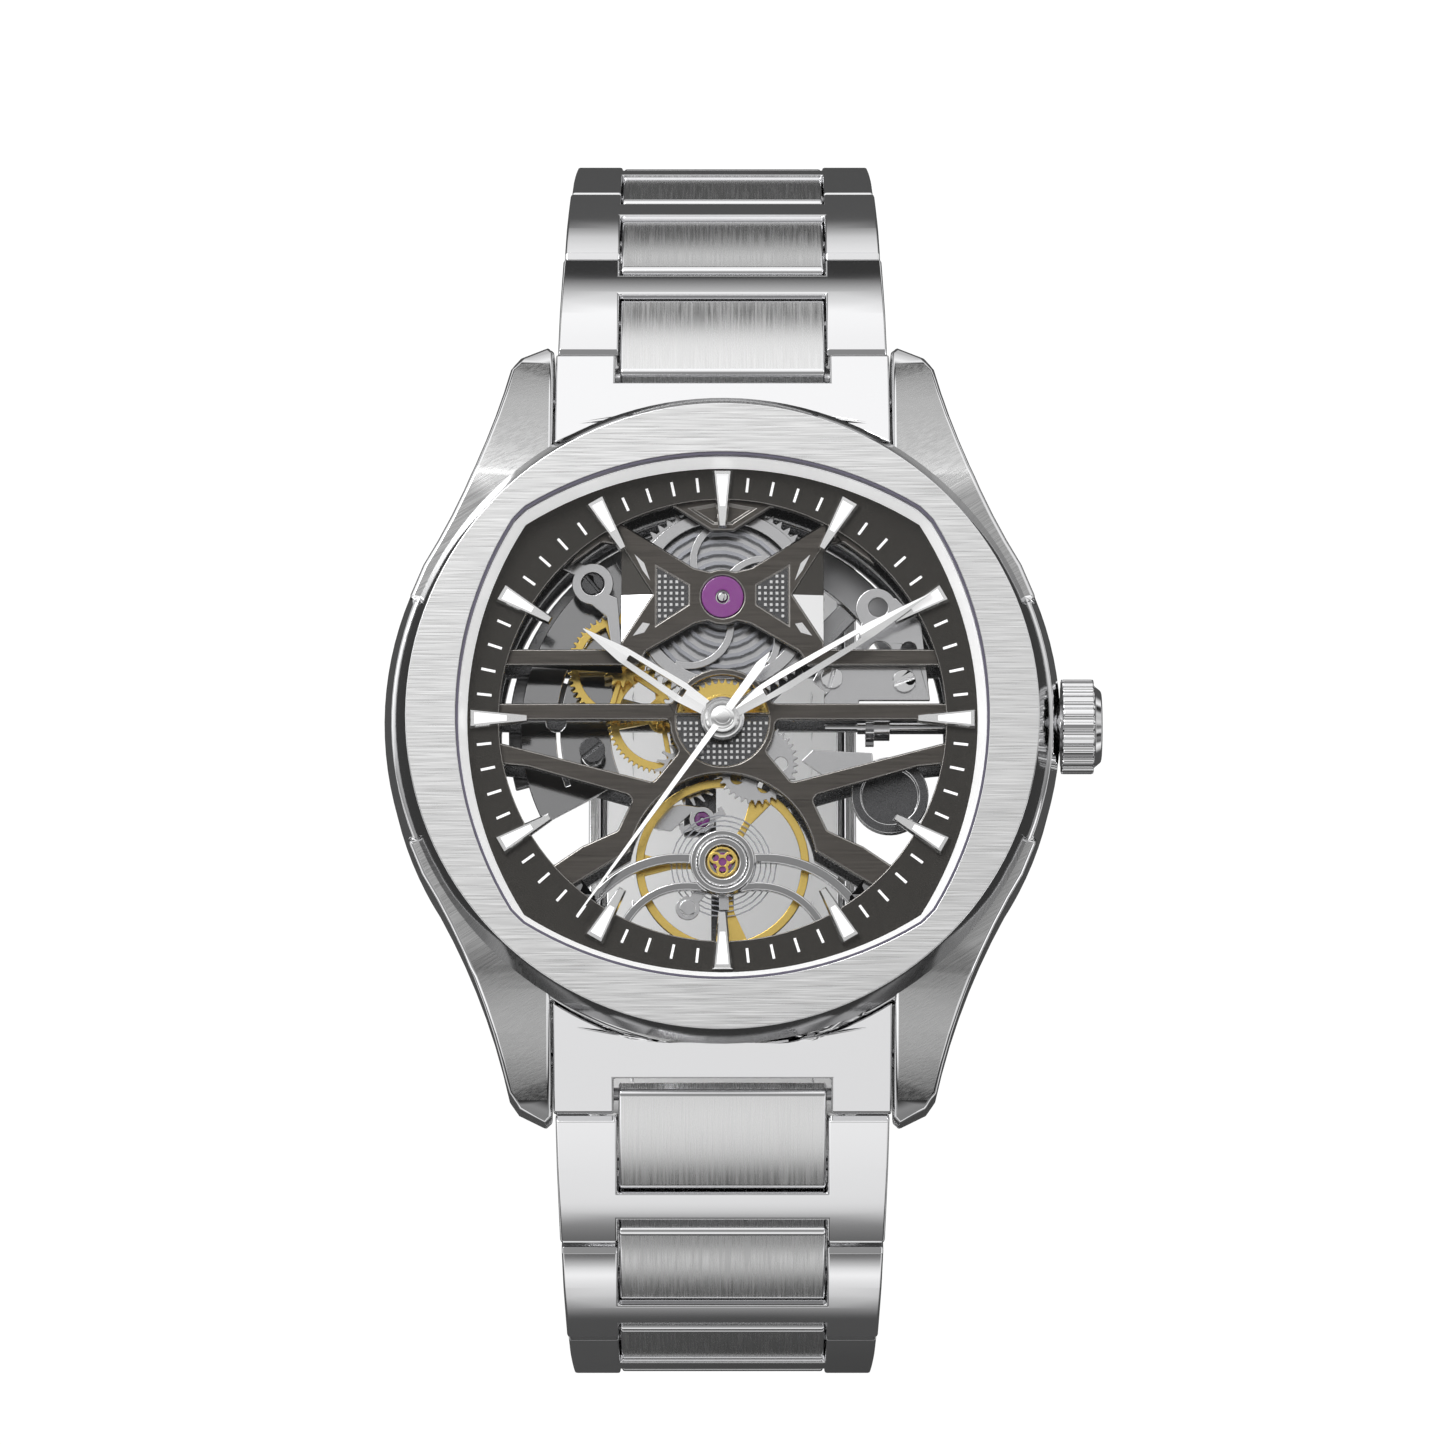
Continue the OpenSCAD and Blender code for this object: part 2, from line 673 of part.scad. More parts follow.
fork_dir = heading(pallet_at, balance_at);
fork_len = span(pallet_at, balance_at);
module pallet_fork() {
    at(pallet_at) color("silver") rotate(fork_dir) {
        translate([0, 0, 5.36]) linear_extrude(0.22) {
            circle(r = 0.4);
            polygon([[-0.1, -1.5], [0.25, -1.5], [0.35, 0], [0.25, 1.5], [-0.1, 1.5]]);
            polygon([[0, -0.16], [fork_len - 1.1, -0.12], [fork_len - 1, -0.3], [fork_len - 0.55, -0.3],
                [fork_len - 0.55, -0.14], [fork_len - 0.85, -0.12], [fork_len - 0.85, 0.12],
                [fork_len - 0.55, 0.14], [fork_len - 0.55, 0.3], [fork_len - 1, 0.3],
                [fork_len - 1.1, 0.12], [0, 0.16]]);
        }
        arbor(plate_z + 0.1, 5.9, 0.1);
    }
    at(pallet_at) color("crimson") rotate(fork_dir) for (s = [-1, 1])
        translate([-0.32, s * 1.32 - 0.14, 5.34]) cube([0.5, 0.28, 0.26]);
}
// Spoke that flares towards the rim
module flared_spoke(len) {
    polygon([[0, -0.22], [len * 0.6, -0.22], [len, -0.75], [len, 0.75], [len * 0.6, 0.22], [0, 0.22]]);
}
module balance_wheel() {
    at(balance_at) color("gold") {
        washer(balance_r, balance_r - 0.52, 6.1, 0.42);
        translate([0, 0, 6.18]) linear_extrude(0.22) {
            for (a = [60, 180, 280]) rotate(a) flared_spoke(balance_r - 0.3);
            circle(r = 0.9);
        }
        disc(0.75, 5.8, 0.45);
        arbor(plate_z + 0.1, 7.3, 0.1);
        rotate(fork_dir + 180) translate([0.55, 0, 5.66]) cylinder(r = 0.12, h = 0.2);
    }
}
module hairspring() {
    at(balance_at) color("lightsteelblue") translate([0, 0, 6.55])
        linear_extrude(0.14) spiral_strip(0.45, 3.3, 9, 0.07, 220);
}
module cannon_pinion() {
    color("silver") difference() {
        union() {
            translate([0, 0, barrel_z]) gear(centre_n, m_barrel, 0.5, centre_turn);
            translate([0, 0, cannon_z]) gear(cannon_n, m_cannon, 0.25);
            disc(0.5, barrel_z - 0.1, minute_hand_z + 0.25 - barrel_z);
        }
        disc(0.22, 5, 6);
    }
}
module minute_wheel() {
    at(minute_at) color("silver") difference() {
        union() {
            translate([0, 0, cannon_z]) gear(minute_n, m_cannon, 0.22, minute_turn);
            translate([0, 0, cannon_z]) gear(minute_pinion_n, m_hour, 0.7);
            arbor(cannon_z - 0.1, bridge_z + 0.2, 0.26);
        }
        for (i = [0:4]) rotate(i * 72) translate([1.5, 0, cannon_z - 1]) cylinder(r = 0.42, h = 2);
    }
}
module hour_wheel() {
    color("gold") difference() {
        union() {
            translate([0, 0, hour_wheel_z]) gear(hour_n, m_hour, 0.25, hour_turn);
            disc(1.75, hour_wheel_z, 0.32);
            disc(0.9, hour_wheel_z, hour_hand_z + 0.2 - hour_wheel_z);
        }
        disc(0.53, 5, 6);
    }
}

// ---- Hands ----

// Open-worked hand along +X: a long kite with a slot
module open_hand(len, width, slot0, slot1, slot_w, hub, bore, h) {
    difference() {
        linear_extrude(h) difference() {
            union() {
                circle(r = hub);
                polygon([[0, -width * 0.36], [len * 0.3, -width / 2], [len * 0.72, -width * 0.4],
                    [len, -0.05], [len, 0.05], [len * 0.72, width * 0.4], [len * 0.3, width / 2],
                    [0, width * 0.36]]);
            }
            circle(r = bore);
            polygon([[slot0, -slot_w * 0.3], [slot0 + 1, -slot_w / 2], [slot1, -slot_w * 0.35],
                [slot1, slot_w * 0.35], [slot0 + 1, slot_w / 2], [slot0, slot_w * 0.3]]);
        }
    }
}
hour_clock = 303;
minute_clock = 59;
seconds_clock = 215.8;
module hour_hand() {
    color("whitesmoke") translate([0, 0, hour_hand_z]) rotate(clock(hour_clock))
        open_hand(hour_len, 1.25, 2.8, 7, 0.5, 1.35, 0.91, 0.2);
}
module minute_hand() {
    color("whitesmoke") translate([0, 0, minute_hand_z]) rotate(clock(minute_clock))
        open_hand(minute_len, 1.2, 3, 10, 0.45, 1.05, 0.51, 0.18);
}
module seconds_hand() {
    color("whitesmoke") translate([0, 0, seconds_hand_z]) rotate(clock(seconds_clock)) difference() {
        linear_extrude(0.14) {
            circle(r = 0.7);
            polygon([[0, -0.2], [seconds_len, -0.05], [seconds_len, 0.05], [0, 0.2]]);
            polygon([[0, -0.18], [-2, -0.34], [-4, -0.3], [-5, 0], [-4, 0.3], [-2, 0.34], [0, 0.18]]);
        }
        disc(0.18, -1, 3);
    }
}
// Half-ring weight on three arms, parked on the side away from the crown
rotor_turn = 195;
module rotor() {
    color("gray") translate([0, 0, rotor_z]) rotate(rotor_turn) {
        linear_extrude(0.9) difference() {
            intersection() {
                circle(r = rotor_r);
                translate([-20, -20]) square(20 * [2, 1]);
            }
            circle(r = 11.2);
        }
        linear_extrude(0.35) difference() {
            union() {
                circle(r = 2);
                for (a = [-150, -90, -30]) rotate(a) translate([0, -0.7]) square([11.6, 1.4]);
            }
            circle(r = 0.95);
        }
    }
}

// ---- Bracelet ----

// Slope of each row below the horizontal at rest, from the case outwards
slope_12 = [33, 49, 65, 103, 142];
slope_6 = [29, 55, 80, 118, 150];
rows = len(slope_12);
end_slope = 31;
leg = 0.85;
first_pin = [22.7, 3.2];
half_t = link_t / 2;
function down(a) = [cos(a), -sin(a)];
function pin_at(slopes, i) = i == 0 ? first_pin : pin_at(slopes, i - 1) + pitch * down(slopes[i - 1]);
function row_width(i) = row_w - taper * i;

// Puts a link drawn along +Y with its outside on +Z at a pin and a slope
module hang(p, slope) {
    translate([0, p[0], p[1]]) rotate([-slope, 0, 0]) children();
}
// Extrudes a side view (y, z) to a width centred on x
module slab(w) {
    rotate([90, 0, 90]) translate([0, 0, -w / 2]) linear_extrude(w) children();
}
// Slightly domed top line from y0 to y1, whose highest point is at height h
crown_drop = 0.22;
function crown_line(y0, y1, h) = [for (i = [0:8])
    [y0 + (y1 - y0) * i / 8, h - crown_drop * pow(i / 4 - 1, 2)]];
module h_side() {
    polygon(concat(crown_line(1.3, pitch + leg - 0.25, half_t),
        [[pitch + leg, half_t - crown_drop - 0.35], [pitch + leg, -0.2], [pitch + leg - 0.55, -half_t],
        [2.5, -half_t], [1.25, 0], [1, half_t - crown_drop - 0.3]]));
}
module h_plan(i) {
    w0 = row_width(i) / 2;
    w1 = row_width(i + 1) / 2;
    polygon([[w0, 0], [(w0 + w1) / 2 + 0.06, pitch / 2], [w1, pitch + 2], [-w1, pitch + 2],
        [-(w0 + w1) / 2 - 0.06, pitch / 2], [-w0, 0]]);
}
module centre_side(len) {
    polygon(concat(crown_line(-0.5, len - 0.25, half_t - 0.08),
        [[len, half_t - crown_drop - 0.35], [len, -half_t + 0.4], [len - 0.4, -half_t + 0.08],
        [0.35, -half_t + 0.08], [-0.75, -0.1], [-0.75, half_t - crown_drop - 0.3]]));
}
bar0 = 6.05;
bar1 = 7.85;
lock_pin = 4.7;
module link_row(i) {
    color("silver") difference() {
        intersection() {
            slab(40) h_side();
            translate([0, 0, -5]) linear_extrude(10) h_plan(i);
        }
        translate([-centre_w / 2 - 0.1, -1, -3]) cube([centre_w + 0.2, bar0 + 1, 6]);
        translate([-centre_w / 2 - 0.1, bar1, -3]) cube([centre_w + 0.2, 6, 6]);
        cross_pin([pitch, 0], 0.44, 40);
        cross_pin([lock_pin, 0], 0.42, 40);
    }
    color("lightgray") difference() {
        slab(centre_w) centre_side(bar0 - 0.08);
        cross_pin([0, 0], 0.42, 40);
        cross_pin([lock_pin, 0], 0.42, 40);
    }
    color("gray") {
        cross_pin([0, 0], 0.4, row_width(i) - 1.2);
        cross_pin([lock_pin, 0], 0.4, row_width(i + 1) - 0.6);
    }
}
module upper_row(i) {
    hang(pin_at(slope_12, i), slope_12[i]) link_row(i);
}
module lower_row(i) {
    mirror([0, 1, 0]) hang(pin_at(slope_6, i), slope_6[i]) link_row(i);
}
module end_link() {
    color("silver") difference() {
        hang(first_pin, end_slope) slab(2 * lug_half_gap - 0.2)
            polygon([[-8, half_t + 0.05], [leg - 0.3, half_t + 0.05], [leg, half_t - 0.4],
                [leg, -half_t + 0.4], [leg - 0.4, -half_t], [-8, -half_t]]);
        disc(19.5, -1, 12);
        disc(20.45, 6.9, 5);
        hang(first_pin, end_slope) translate([-6.75, -1.75, -4]) cube([13.5, 5, 8]);
        hang(first_pin, end_slope) cross_pin([0, 0], 0.44, 40);
        cross_pin(spring_bar_at, 0.75, 40);
    }
}
module end_link_12() {
    end_link();
}
module end_link_6() {
    mirror([0, 1, 0]) end_link();
}
module spring_bars() {
    color("gray") for (s = [-1, 1]) {
        cross_pin([s * spring_bar_at[0], spring_bar_at[1]], 0.7, 20.8);
        cross_pin([s * spring_bar_at[0], spring_bar_at[1]], 0.5, 23.2);
    }
}
module upper_link_1() { upper_row(0); }
module upper_link_2() { upper_row(1); }
module upper_link_3() { upper_row(2); }
module upper_link_4() { upper_row(3); }
module upper_link_5() { upper_row(4); }
module lower_link_1() { lower_row(0); }
module lower_link_2() { lower_row(1); }
module lower_link_3() { lower_row(2); }
module lower_link_4() { lower_row(3); }
module lower_link_5() { lower_row(4); }

// ---- Clasp ----

upper_end = pin_at(slope_12, rows);
lower_end = [-pin_at(slope_6, rows)[0], pin_at(slope_6, rows)[1]];
clasp_r = 60;
clasp_half = span(upper_end, lower_end) / 2;
clasp_mid = (upper_end + lower_end) / 2;
clasp_tilt = heading(lower_end, upper_end);
clasp_sag = sqrt(pow(clasp_r, 2) - pow(clasp_half, 2));
clasp_c = clasp_mid + polar(clasp_sag, clasp_tilt + 90);
blade_w = 15.6;
cover_w = 18;
// Point on a circle about the clasp's centre, at a distance along it from the middle
function on_clasp(r, along) = clasp_c + polar(r, clasp_tilt - 90 + along / clasp_r * 180 / PI);
fold_pin = on_clasp(60.55, -clasp_half + 6);
cover_pin = on_clasp(61.6, clasp_half - 5.2);
// Curved plate between two places along the clasp, with its outside at radius r
module clasp_plate(r, t, w, from, to) {
    a0 = clasp_tilt - 90 + from / clasp_r * 180 / PI;
    a1 = clasp_tilt - 90 + to / clasp_r * 180 / PI;
    slab(w) polygon(concat(arc(clasp_c, r, a0, a1, 20), arc(clasp_c, r - t, a1, a0, 20)));
}
module clasp_inner_blade() {
    color("silver") difference() {
        union() {
            difference() {
                clasp_plate(60.4, 0.8, blade_w, -clasp_half + 6, clasp_half - 2.6);
                cross_pin(fold_pin, 1.05, 40);
            }
            intersection() {
                clasp_plate(60.4, 0.8, 12, -clasp_half + 6, clasp_half - 1);
                translate([-6.2, -50, -60]) cube([12.4, 200, 100]);
            }
            cross_pin(fold_pin, 0.9, 6);
            cross_pin(upper_end, 0.8, 12.4);
        }
        difference() {
            cross_pin(fold_pin, 1.05, 40);
            cross_pin(fold_pin, 3, 6);
        }
        cross_pin(fold_pin, 0.4, 40);
        cross_pin(upper_end, 0.42, 40);
    }
    color("gray") cross_pin(upper_end, 0.4, row_width(rows) - 1.2);
}
module clasp_middle_blade() {
    color("silver") difference() {
        union() {
            clasp_plate(61.4, 0.7, blade_w, -clasp_half + 6, clasp_half - 5.2);
            cross_pin(fold_pin, 0.9, blade_w);
            cross_pin(cover_pin, 0.9, 6);
        }
        cross_pin(fold_pin, 1.05, 6.2);
        difference() {
            cross_pin(cover_pin, 1.05, 40);
            cross_pin(cover_pin, 3, 6);
        }
        cross_pin(cover_pin, 0.4, 40);
    }
    color("gray") cross_pin(fold_pin, 0.36, blade_w);
}
button_at = on_clasp(60.6, -6);
module clasp_cover() {
    color("silver") difference() {
        union() {
            clasp_plate(62.7, 0.9, cover_w, -clasp_half + 1.15, clasp_half - 5.2);
            for (s = [-1, 1]) translate([s * (cover_w / 2 - 0.4), 0, 0])
                clasp_plate(62.45, 3.25, 0.8, -clasp_half + 2.2, clasp_half - 5.4);
            difference() {
                cross_pin(cover_pin, 0.9, cover_w);
                cross_pin(cover_pin, 2, 6.2);
            }
            clasp_plate(62.25, 2.85, 12.4, -clasp_half + 0.55, -clasp_half + 2.5);
        }
        cross_pin(cover_pin, 1.05, 6.2);
        cross_pin(button_at, 1.24, 40);
    }
    color("gray") cross_pin(cover_pin, 0.36, 8);
}
module push_button() {
    color("silver") translate([cover_w / 2 - 0.55, 0, 0])
        translate([0, button_at[0], button_at[1]]) rotate([0, 90, 0]) {
            cylinder(r = 1.2, h = 1.2);
            translate([0, 0, 1.2]) cylinder(r1 = 1.2, r2 = 0.95, h = 0.25);
        }
}
module push_button_left() {
    mirror([1, 0, 0]) push_button();
}
module push_button_right() {
    push_button();
}

case_middle();
bezel();
crystal();
crystal_gasket();
flange_ring();
chapter_ring();
hour_indices();
dial_bridge();
dial_jewels();
main_plate();
casing_ring();
pallet_bridge();
balance_bridge();
regulator();
shock_setting();
setting_plate();
movement_screws();
barrel_arbor();
crown_tube();
case_back();
back_glass();
back_gasket();
end_link_12();
end_link_6();
spring_bars();
crown();
stem();
crown_gasket();
sliding_pinion();
barrel();
mainspring();
second_wheel();
third_wheel();
seconds_arbor();
escape_wheel();
pallet_fork();
balance_wheel();
hairspring();
cannon_pinion();
minute_wheel();
hour_wheel();
hour_hand();
minute_hand();
seconds_hand();
rotor();
upper_link_1();
upper_link_2();
upper_link_3();
upper_link_4();
upper_link_5();
lower_link_1();
lower_link_2();
lower_link_3();
lower_link_4();
lower_link_5();
clasp_inner_blade();
clasp_middle_blade();
clasp_cover();
push_button_left();
push_button_right();
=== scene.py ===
"""Skeleton wristwatch: finishes, dial detail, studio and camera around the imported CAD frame.

The frame is in metres. Sizes here are in millimetres times MM.
+Z points to the crystal, +Y to 12 o'clock and +X to the crown.
"""

import json
import math

import bmesh
import bpy
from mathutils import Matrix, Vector


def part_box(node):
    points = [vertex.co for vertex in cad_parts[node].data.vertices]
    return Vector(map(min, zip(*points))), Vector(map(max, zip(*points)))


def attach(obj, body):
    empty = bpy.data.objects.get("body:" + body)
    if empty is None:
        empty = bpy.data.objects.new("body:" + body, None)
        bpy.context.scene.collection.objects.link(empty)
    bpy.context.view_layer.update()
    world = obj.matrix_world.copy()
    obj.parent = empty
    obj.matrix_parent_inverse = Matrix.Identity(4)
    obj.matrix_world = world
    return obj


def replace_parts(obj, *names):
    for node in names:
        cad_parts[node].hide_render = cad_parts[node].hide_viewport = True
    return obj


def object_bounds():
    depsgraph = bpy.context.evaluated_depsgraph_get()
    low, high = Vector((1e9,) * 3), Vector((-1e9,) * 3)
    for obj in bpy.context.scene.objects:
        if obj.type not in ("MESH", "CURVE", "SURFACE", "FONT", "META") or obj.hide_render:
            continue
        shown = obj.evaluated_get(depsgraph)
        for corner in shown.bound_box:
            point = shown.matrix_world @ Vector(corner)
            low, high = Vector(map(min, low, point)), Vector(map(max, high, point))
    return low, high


MM = 0.001
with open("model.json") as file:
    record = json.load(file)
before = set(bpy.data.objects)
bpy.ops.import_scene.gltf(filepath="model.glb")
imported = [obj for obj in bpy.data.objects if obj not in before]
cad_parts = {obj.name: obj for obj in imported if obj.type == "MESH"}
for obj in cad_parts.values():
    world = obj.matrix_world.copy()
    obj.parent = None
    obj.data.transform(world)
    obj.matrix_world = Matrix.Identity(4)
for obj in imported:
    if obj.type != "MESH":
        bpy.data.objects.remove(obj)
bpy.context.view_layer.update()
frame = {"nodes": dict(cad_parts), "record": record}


# ---- Materials ----

# Noise cells per metre along each axis: long cells make brushed lines, small ones a blasted grain
FINE = 9000.0
ALONG = 260.0
BRUSH_X = (ALONG, FINE, FINE)
BRUSH_Y = (FINE, ALONG, ALONG)
CLOUDY = (90.0, 90.0, 90.0)
BLASTED = (14000.0, 14000.0, 14000.0)
GRAINED = (9000.0, 9000.0, 9000.0)
NOISE_DETAIL = 3.0
NOISE_LOW, NOISE_HIGH = 0.25, 0.75
BUMP_DEPTH = 0.02 * MM
# Colour sockets of a Mix node
MIX_A, MIX_B, MIX_RESULT = 6, 7, 2


def surface(name, colour, roughness, grain, metallic=1.0, vary=0.1, spread=0.3, bump=0.0,
            turn=0.0, **sockets):
    """A Principled material whose tint, roughness and height follow one noise.

    vary and spread are the shares by which the tint and the roughness change, turn is the grain's
    angle in degrees, and sockets sets further inputs by name.
    """
    material = bpy.data.materials.new(name)
    material.use_nodes = True
    nodes, links = material.node_tree.nodes, material.node_tree.links
    shader = nodes["Principled BSDF"]
    shader.inputs["Metallic"].default_value = metallic
    for socket, value in sockets.items():
        shader.inputs[socket.replace("_", " ")].default_value = value
    coords = nodes.new("ShaderNodeTexCoord")
    mapping = nodes.new("ShaderNodeMapping")
    mapping.vector_type = "POINT"
    mapping.inputs["Scale"].default_value = grain
    noise = nodes.new("ShaderNodeTexNoise")
    noise.inputs["Scale"].default_value = 1.0
    noise.inputs["Detail"].default_value = NOISE_DETAIL
    source = coords.outputs["Object"]
    if turn:
        rotate = nodes.new("ShaderNodeVectorRotate")
        rotate.rotation_type = "Z_AXIS"
        rotate.inputs["Angle"].default_value = math.radians(turn)
        links.new(source, rotate.inputs["Vector"])
        source = rotate.outputs["Vector"]
    links.new(source, mapping.inputs["Vector"])
    links.new(mapping.outputs["Vector"], noise.inputs["Vector"])
    tint = nodes.new("ShaderNodeMix")
    tint.data_type = "RGBA"
    tint.inputs[MIX_A].default_value = [max(0.0, c * (1 - vary)) for c in colour] + [1.0]
    tint.inputs[MIX_B].default_value = [min(1.0, c * (1 + vary)) for c in colour] + [1.0]
    links.new(noise.outputs["Fac"], tint.inputs[0])
    links.new(tint.outputs[MIX_RESULT], shader.inputs["Base Color"])
    rough = nodes.new("ShaderNodeMapRange")
    rough.inputs["From Min"].default_value = NOISE_LOW
    rough.inputs["From Max"].default_value = NOISE_HIGH
    rough.inputs["To Min"].default_value = roughness * (1 - spread)
    rough.inputs["To Max"].default_value = roughness * (1 + spread)
    links.new(noise.outputs["Fac"], rough.inputs["Value"])
    links.new(rough.outputs["Result"], shader.inputs["Roughness"])
    if bump:
        relief = nodes.new("ShaderNodeBump")
        relief.inputs["Strength"].default_value = bump
        relief.inputs["Distance"].default_value = BUMP_DEPTH
        links.new(noise.outputs["Fac"], relief.inputs["Height"])
        links.new(relief.outputs["Normal"], shader.inputs["Normal"])
    return material


STEEL = (0.66, 0.66, 0.67)
BRIGHT = (0.88, 0.88, 0.89)
ANTHRACITE = (0.046, 0.043, 0.039)
GOLD = (0.98, 0.70, 0.20)
WHITE = (1.0, 1.0, 1.0, 1.0)
LUG_GRAIN = -32.0
SAPPHIRE_IOR = 1.76

MATERIALS = {
    "brushed_x": surface("brushed_across", (0.84, 0.84, 0.84), 0.32, BRUSH_X, vary=0.12, bump=0.3),
    "brushed_y": surface("brushed_along", (0.80, 0.80, 0.80), 0.26, BRUSH_Y, vary=0.14, bump=0.25),
    # Brushed steel of the lug tops, made much darker than the bezel's: painted shade on the slopes
    # towards the tips
    "brushed_lug": surface("brushed_lugs_painted_shade", (0.48, 0.48, 0.48), 0.28, BRUSH_X, vary=0.12, bump=0.25,
                           turn=LUG_GRAIN),
    "polished": surface("polished_steel", BRIGHT, 0.07, CLOUDY, vary=0.01, spread=0.25),
    # Polished steel made darker: painted shade, used on the bezel's wall, the balance bridge and
    # the setting plate's left crescent
    "shaded": surface("polished_painted_shade", (0.40, 0.40, 0.405), 0.10, CLOUDY, vary=0.02),
    "satin": surface("satin_steel", STEEL, 0.42, GRAINED, vary=0.05, bump=0.08),
    # The white flange ring glows: painted light, as it is no lamp
    "rehaut_painted_glow": surface("rehaut_painted_glow", (0.98, 0.98, 0.98), 0.2, CLOUDY, metallic=0.0, vary=0.01,
                      Emission_Strength=0.35, Emission_Color=WHITE),
    "ring": surface("blasted_ring", ANTHRACITE, 0.52, BLASTED, metallic=0.75, vary=0.35, bump=0.5),
    "bridge": surface("brushed_bridge", (0.088, 0.080, 0.072), 0.38, BRUSH_X, metallic=0.85,
                      vary=0.28, bump=0.25),
    "bridge_edge": surface("bridge_bevel", (0.33, 0.315, 0.30), 0.24, CLOUDY, vary=0.05),
    # Dark steel for the bow-tie facets that slope towards 6 o'clock: painted shade; those sloping
    # towards 12 o'clock get the bright hand steel as painted light
    "facet_painted_shade": surface("facet_painted_shade", (0.085, 0.08, 0.073), 0.5, BLASTED, metallic=0.7,
                          vary=0.25, bump=0.3),
    "rhodium": surface("rhodium", (0.68, 0.68, 0.69), 0.17, GRAINED, vary=0.05, bump=0.05),
    # Near-white, hardly metallic steel for the clasp blades' tops: painted light, so they read
    # white through the movement's windows
    "blade": surface("blade_top_painted_light", (0.93, 0.93, 0.93), 0.5, GRAINED, metallic=0.15, vary=0.03,
                     bump=0.1),
    "dark_steel": surface("dark_steel", (0.12, 0.12, 0.124), 0.28, GRAINED, vary=0.15, bump=0.08),
    "rotor": surface("rotor_steel", (0.46, 0.46, 0.47), 0.26, CLOUDY, vary=0.35, spread=0.4),
    "gilt": surface("gilt_brass", GOLD, 0.20, GRAINED, vary=0.05, bump=0.05),
    "spring": surface("spring_steel", (0.50, 0.51, 0.55), 0.22, CLOUDY, vary=0.08),
    "hand": surface("hand_steel", (0.98, 0.98, 0.98), 0.16, CLOUDY, vary=0.01),
    "jewel": surface("jewel_purple", (0.22, 0.015, 0.24), 0.06, CLOUDY, metallic=0.0, vary=0.25,
                     Coat_Weight=1.0, Coat_Roughness=0.03, IOR=SAPPHIRE_IOR),
    "ruby": surface("pallet_stone", (0.45, 0.01, 0.12), 0.08, CLOUDY, metallic=0.0, vary=0.1,
                    IOR=SAPPHIRE_IOR),
    # The inlays and minute bars glow: painted light, as they are no lamp
    "lume_painted_glow": surface("white_inlay_painted_glow", (0.95, 0.95, 0.95), 0.5, GRAINED, metallic=0.0, vary=0.02,
                    Emission_Strength=0.3, Emission_Color=WHITE),
    "gasket": surface("grey_gasket", (0.13, 0.12, 0.17), 0.35, CLOUDY, metallic=0.0, vary=0.1),
    "rubber": surface("black_seal", (0.03, 0.03, 0.032), 0.6, GRAINED, metallic=0.0, vary=0.1),
    "glass": surface("sapphire", (0.98, 0.99, 1.0), 0.03, CLOUDY, metallic=0.0, vary=0.005,
                     Alpha=0.004, IOR=1.4),
}


# ---- Mesh helpers ----

WELD = 0.002 * MM
CREASE = math.radians(30.0)
BEVEL_STEPS = 2
BODIES = frame["record"]["behaviour"]["bodies"]


def islands(bm):
    """The connected groups of faces."""
    left = set(bm.faces)
    while left:
        stack = [left.pop()]
        group = []
        while stack:
            face = stack.pop()
            group.append(face)
            for edge in face.edges:
                for other in edge.link_faces:
                    if other in left:
                        left.remove(other)
                        stack.append(other)
        yield group


def corners(faces):
    """The lowest and highest corner of the box around the faces."""
    points = [v.co for face in faces for v in face.verts]
    return (Vector([min(p[i] for p in points) for i in range(3)]),
            Vector([max(p[i] for p in points) for i in range(3)]))


def show(name, mesh, materials):
    """Puts a mesh in the scene with materials named by their keys."""
    piece = bpy.data.objects.new(name, mesh)
    bpy.context.scene.collection.objects.link(piece)
    for key in materials:
        mesh.materials.append(MATERIALS[key])
    return piece


def slot_of(node):
    """The record's material slot of a CAD node."""
    for part in frame["record"]["subparts"]:
        if part["node"] == node:
            return part["material_slot"]


def body_of(node):
    """The moving body that a CAD node belongs to."""
    for name, nodes in BODIES.items():
        if node in nodes:
            return name


def smooth_edges(bm):
    """Keeps edges sharp where the surface turns by more than CREASE or is open."""
    for line in bm.edges:
        line.smooth = len(line.link_faces) == 2 and line.calc_face_angle(0.0) < CREASE


def soften(piece, width, edge_index):
    """Rounds every sharp edge of a piece and keeps its flats flat; -1 keeps the faces' material."""
    bevel = piece.modifiers.new("edges", "BEVEL")
    bevel.width = width * MM
    bevel.segments = BEVEL_STEPS
    bevel.limit_method = "ANGLE"
    bevel.angle_limit = CREASE
    bevel.use_clamp_overlap = False
    bevel.harden_normals = True
    bevel.material = edge_index


def dress(node, paint, bevel, edge):
    """Stands a finished copy of a CAD node in for it: welded, rounded edges, materials by face."""
    bm = bmesh.new()
    bm.from_mesh(frame["nodes"][node].data)
    bmesh.ops.remove_doubles(bm, verts=bm.verts, dist=WELD)
    used = []
    for group in islands(bm):
        low, high = corners(group)
        for face in group:
            key = paint if isinstance(paint, str) else paint(face, low, high)
            if key not in used:
                used.append(key)
            face.material_index = used.index(key)
            face.smooth = True
    smooth_edges(bm)
    if edge and edge not in used:
        used.append(edge)
    mesh = bpy.data.meshes.new(node + "_finish")
    bm.to_mesh(mesh)
    bm.free()
    piece = show(node + "_finish", mesh, used)
    if bevel:
        soften(piece, bevel, used.index(edge) if edge else -1)
    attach(piece, body_of(node))
    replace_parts(piece, node)
    slot_of(node)


def build(name, bm, materials, body, smooth=False):
    """Turns a new bmesh, drawn in millimetres, into a piece."""
    bmesh.ops.scale(bm, vec=(MM, MM, MM), verts=bm.verts)
    bmesh.ops.recalc_face_normals(bm, faces=bm.faces)
    for face in bm.faces:
        face.smooth = smooth
    smooth_edges(bm)
    mesh = bpy.data.meshes.new(name)
    bm.to_mesh(mesh)
    bm.free()
    piece = show(name, mesh, materials)
    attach(piece, body)
    return piece


def ring_faces(bm, low, high):
    """Quads between two loops of vertices, one above the other."""
    return [bm.faces.new((low[i], low[i + 1 - len(low)], high[i + 1 - len(low)], high[i]))
            for i in range(len(low))]


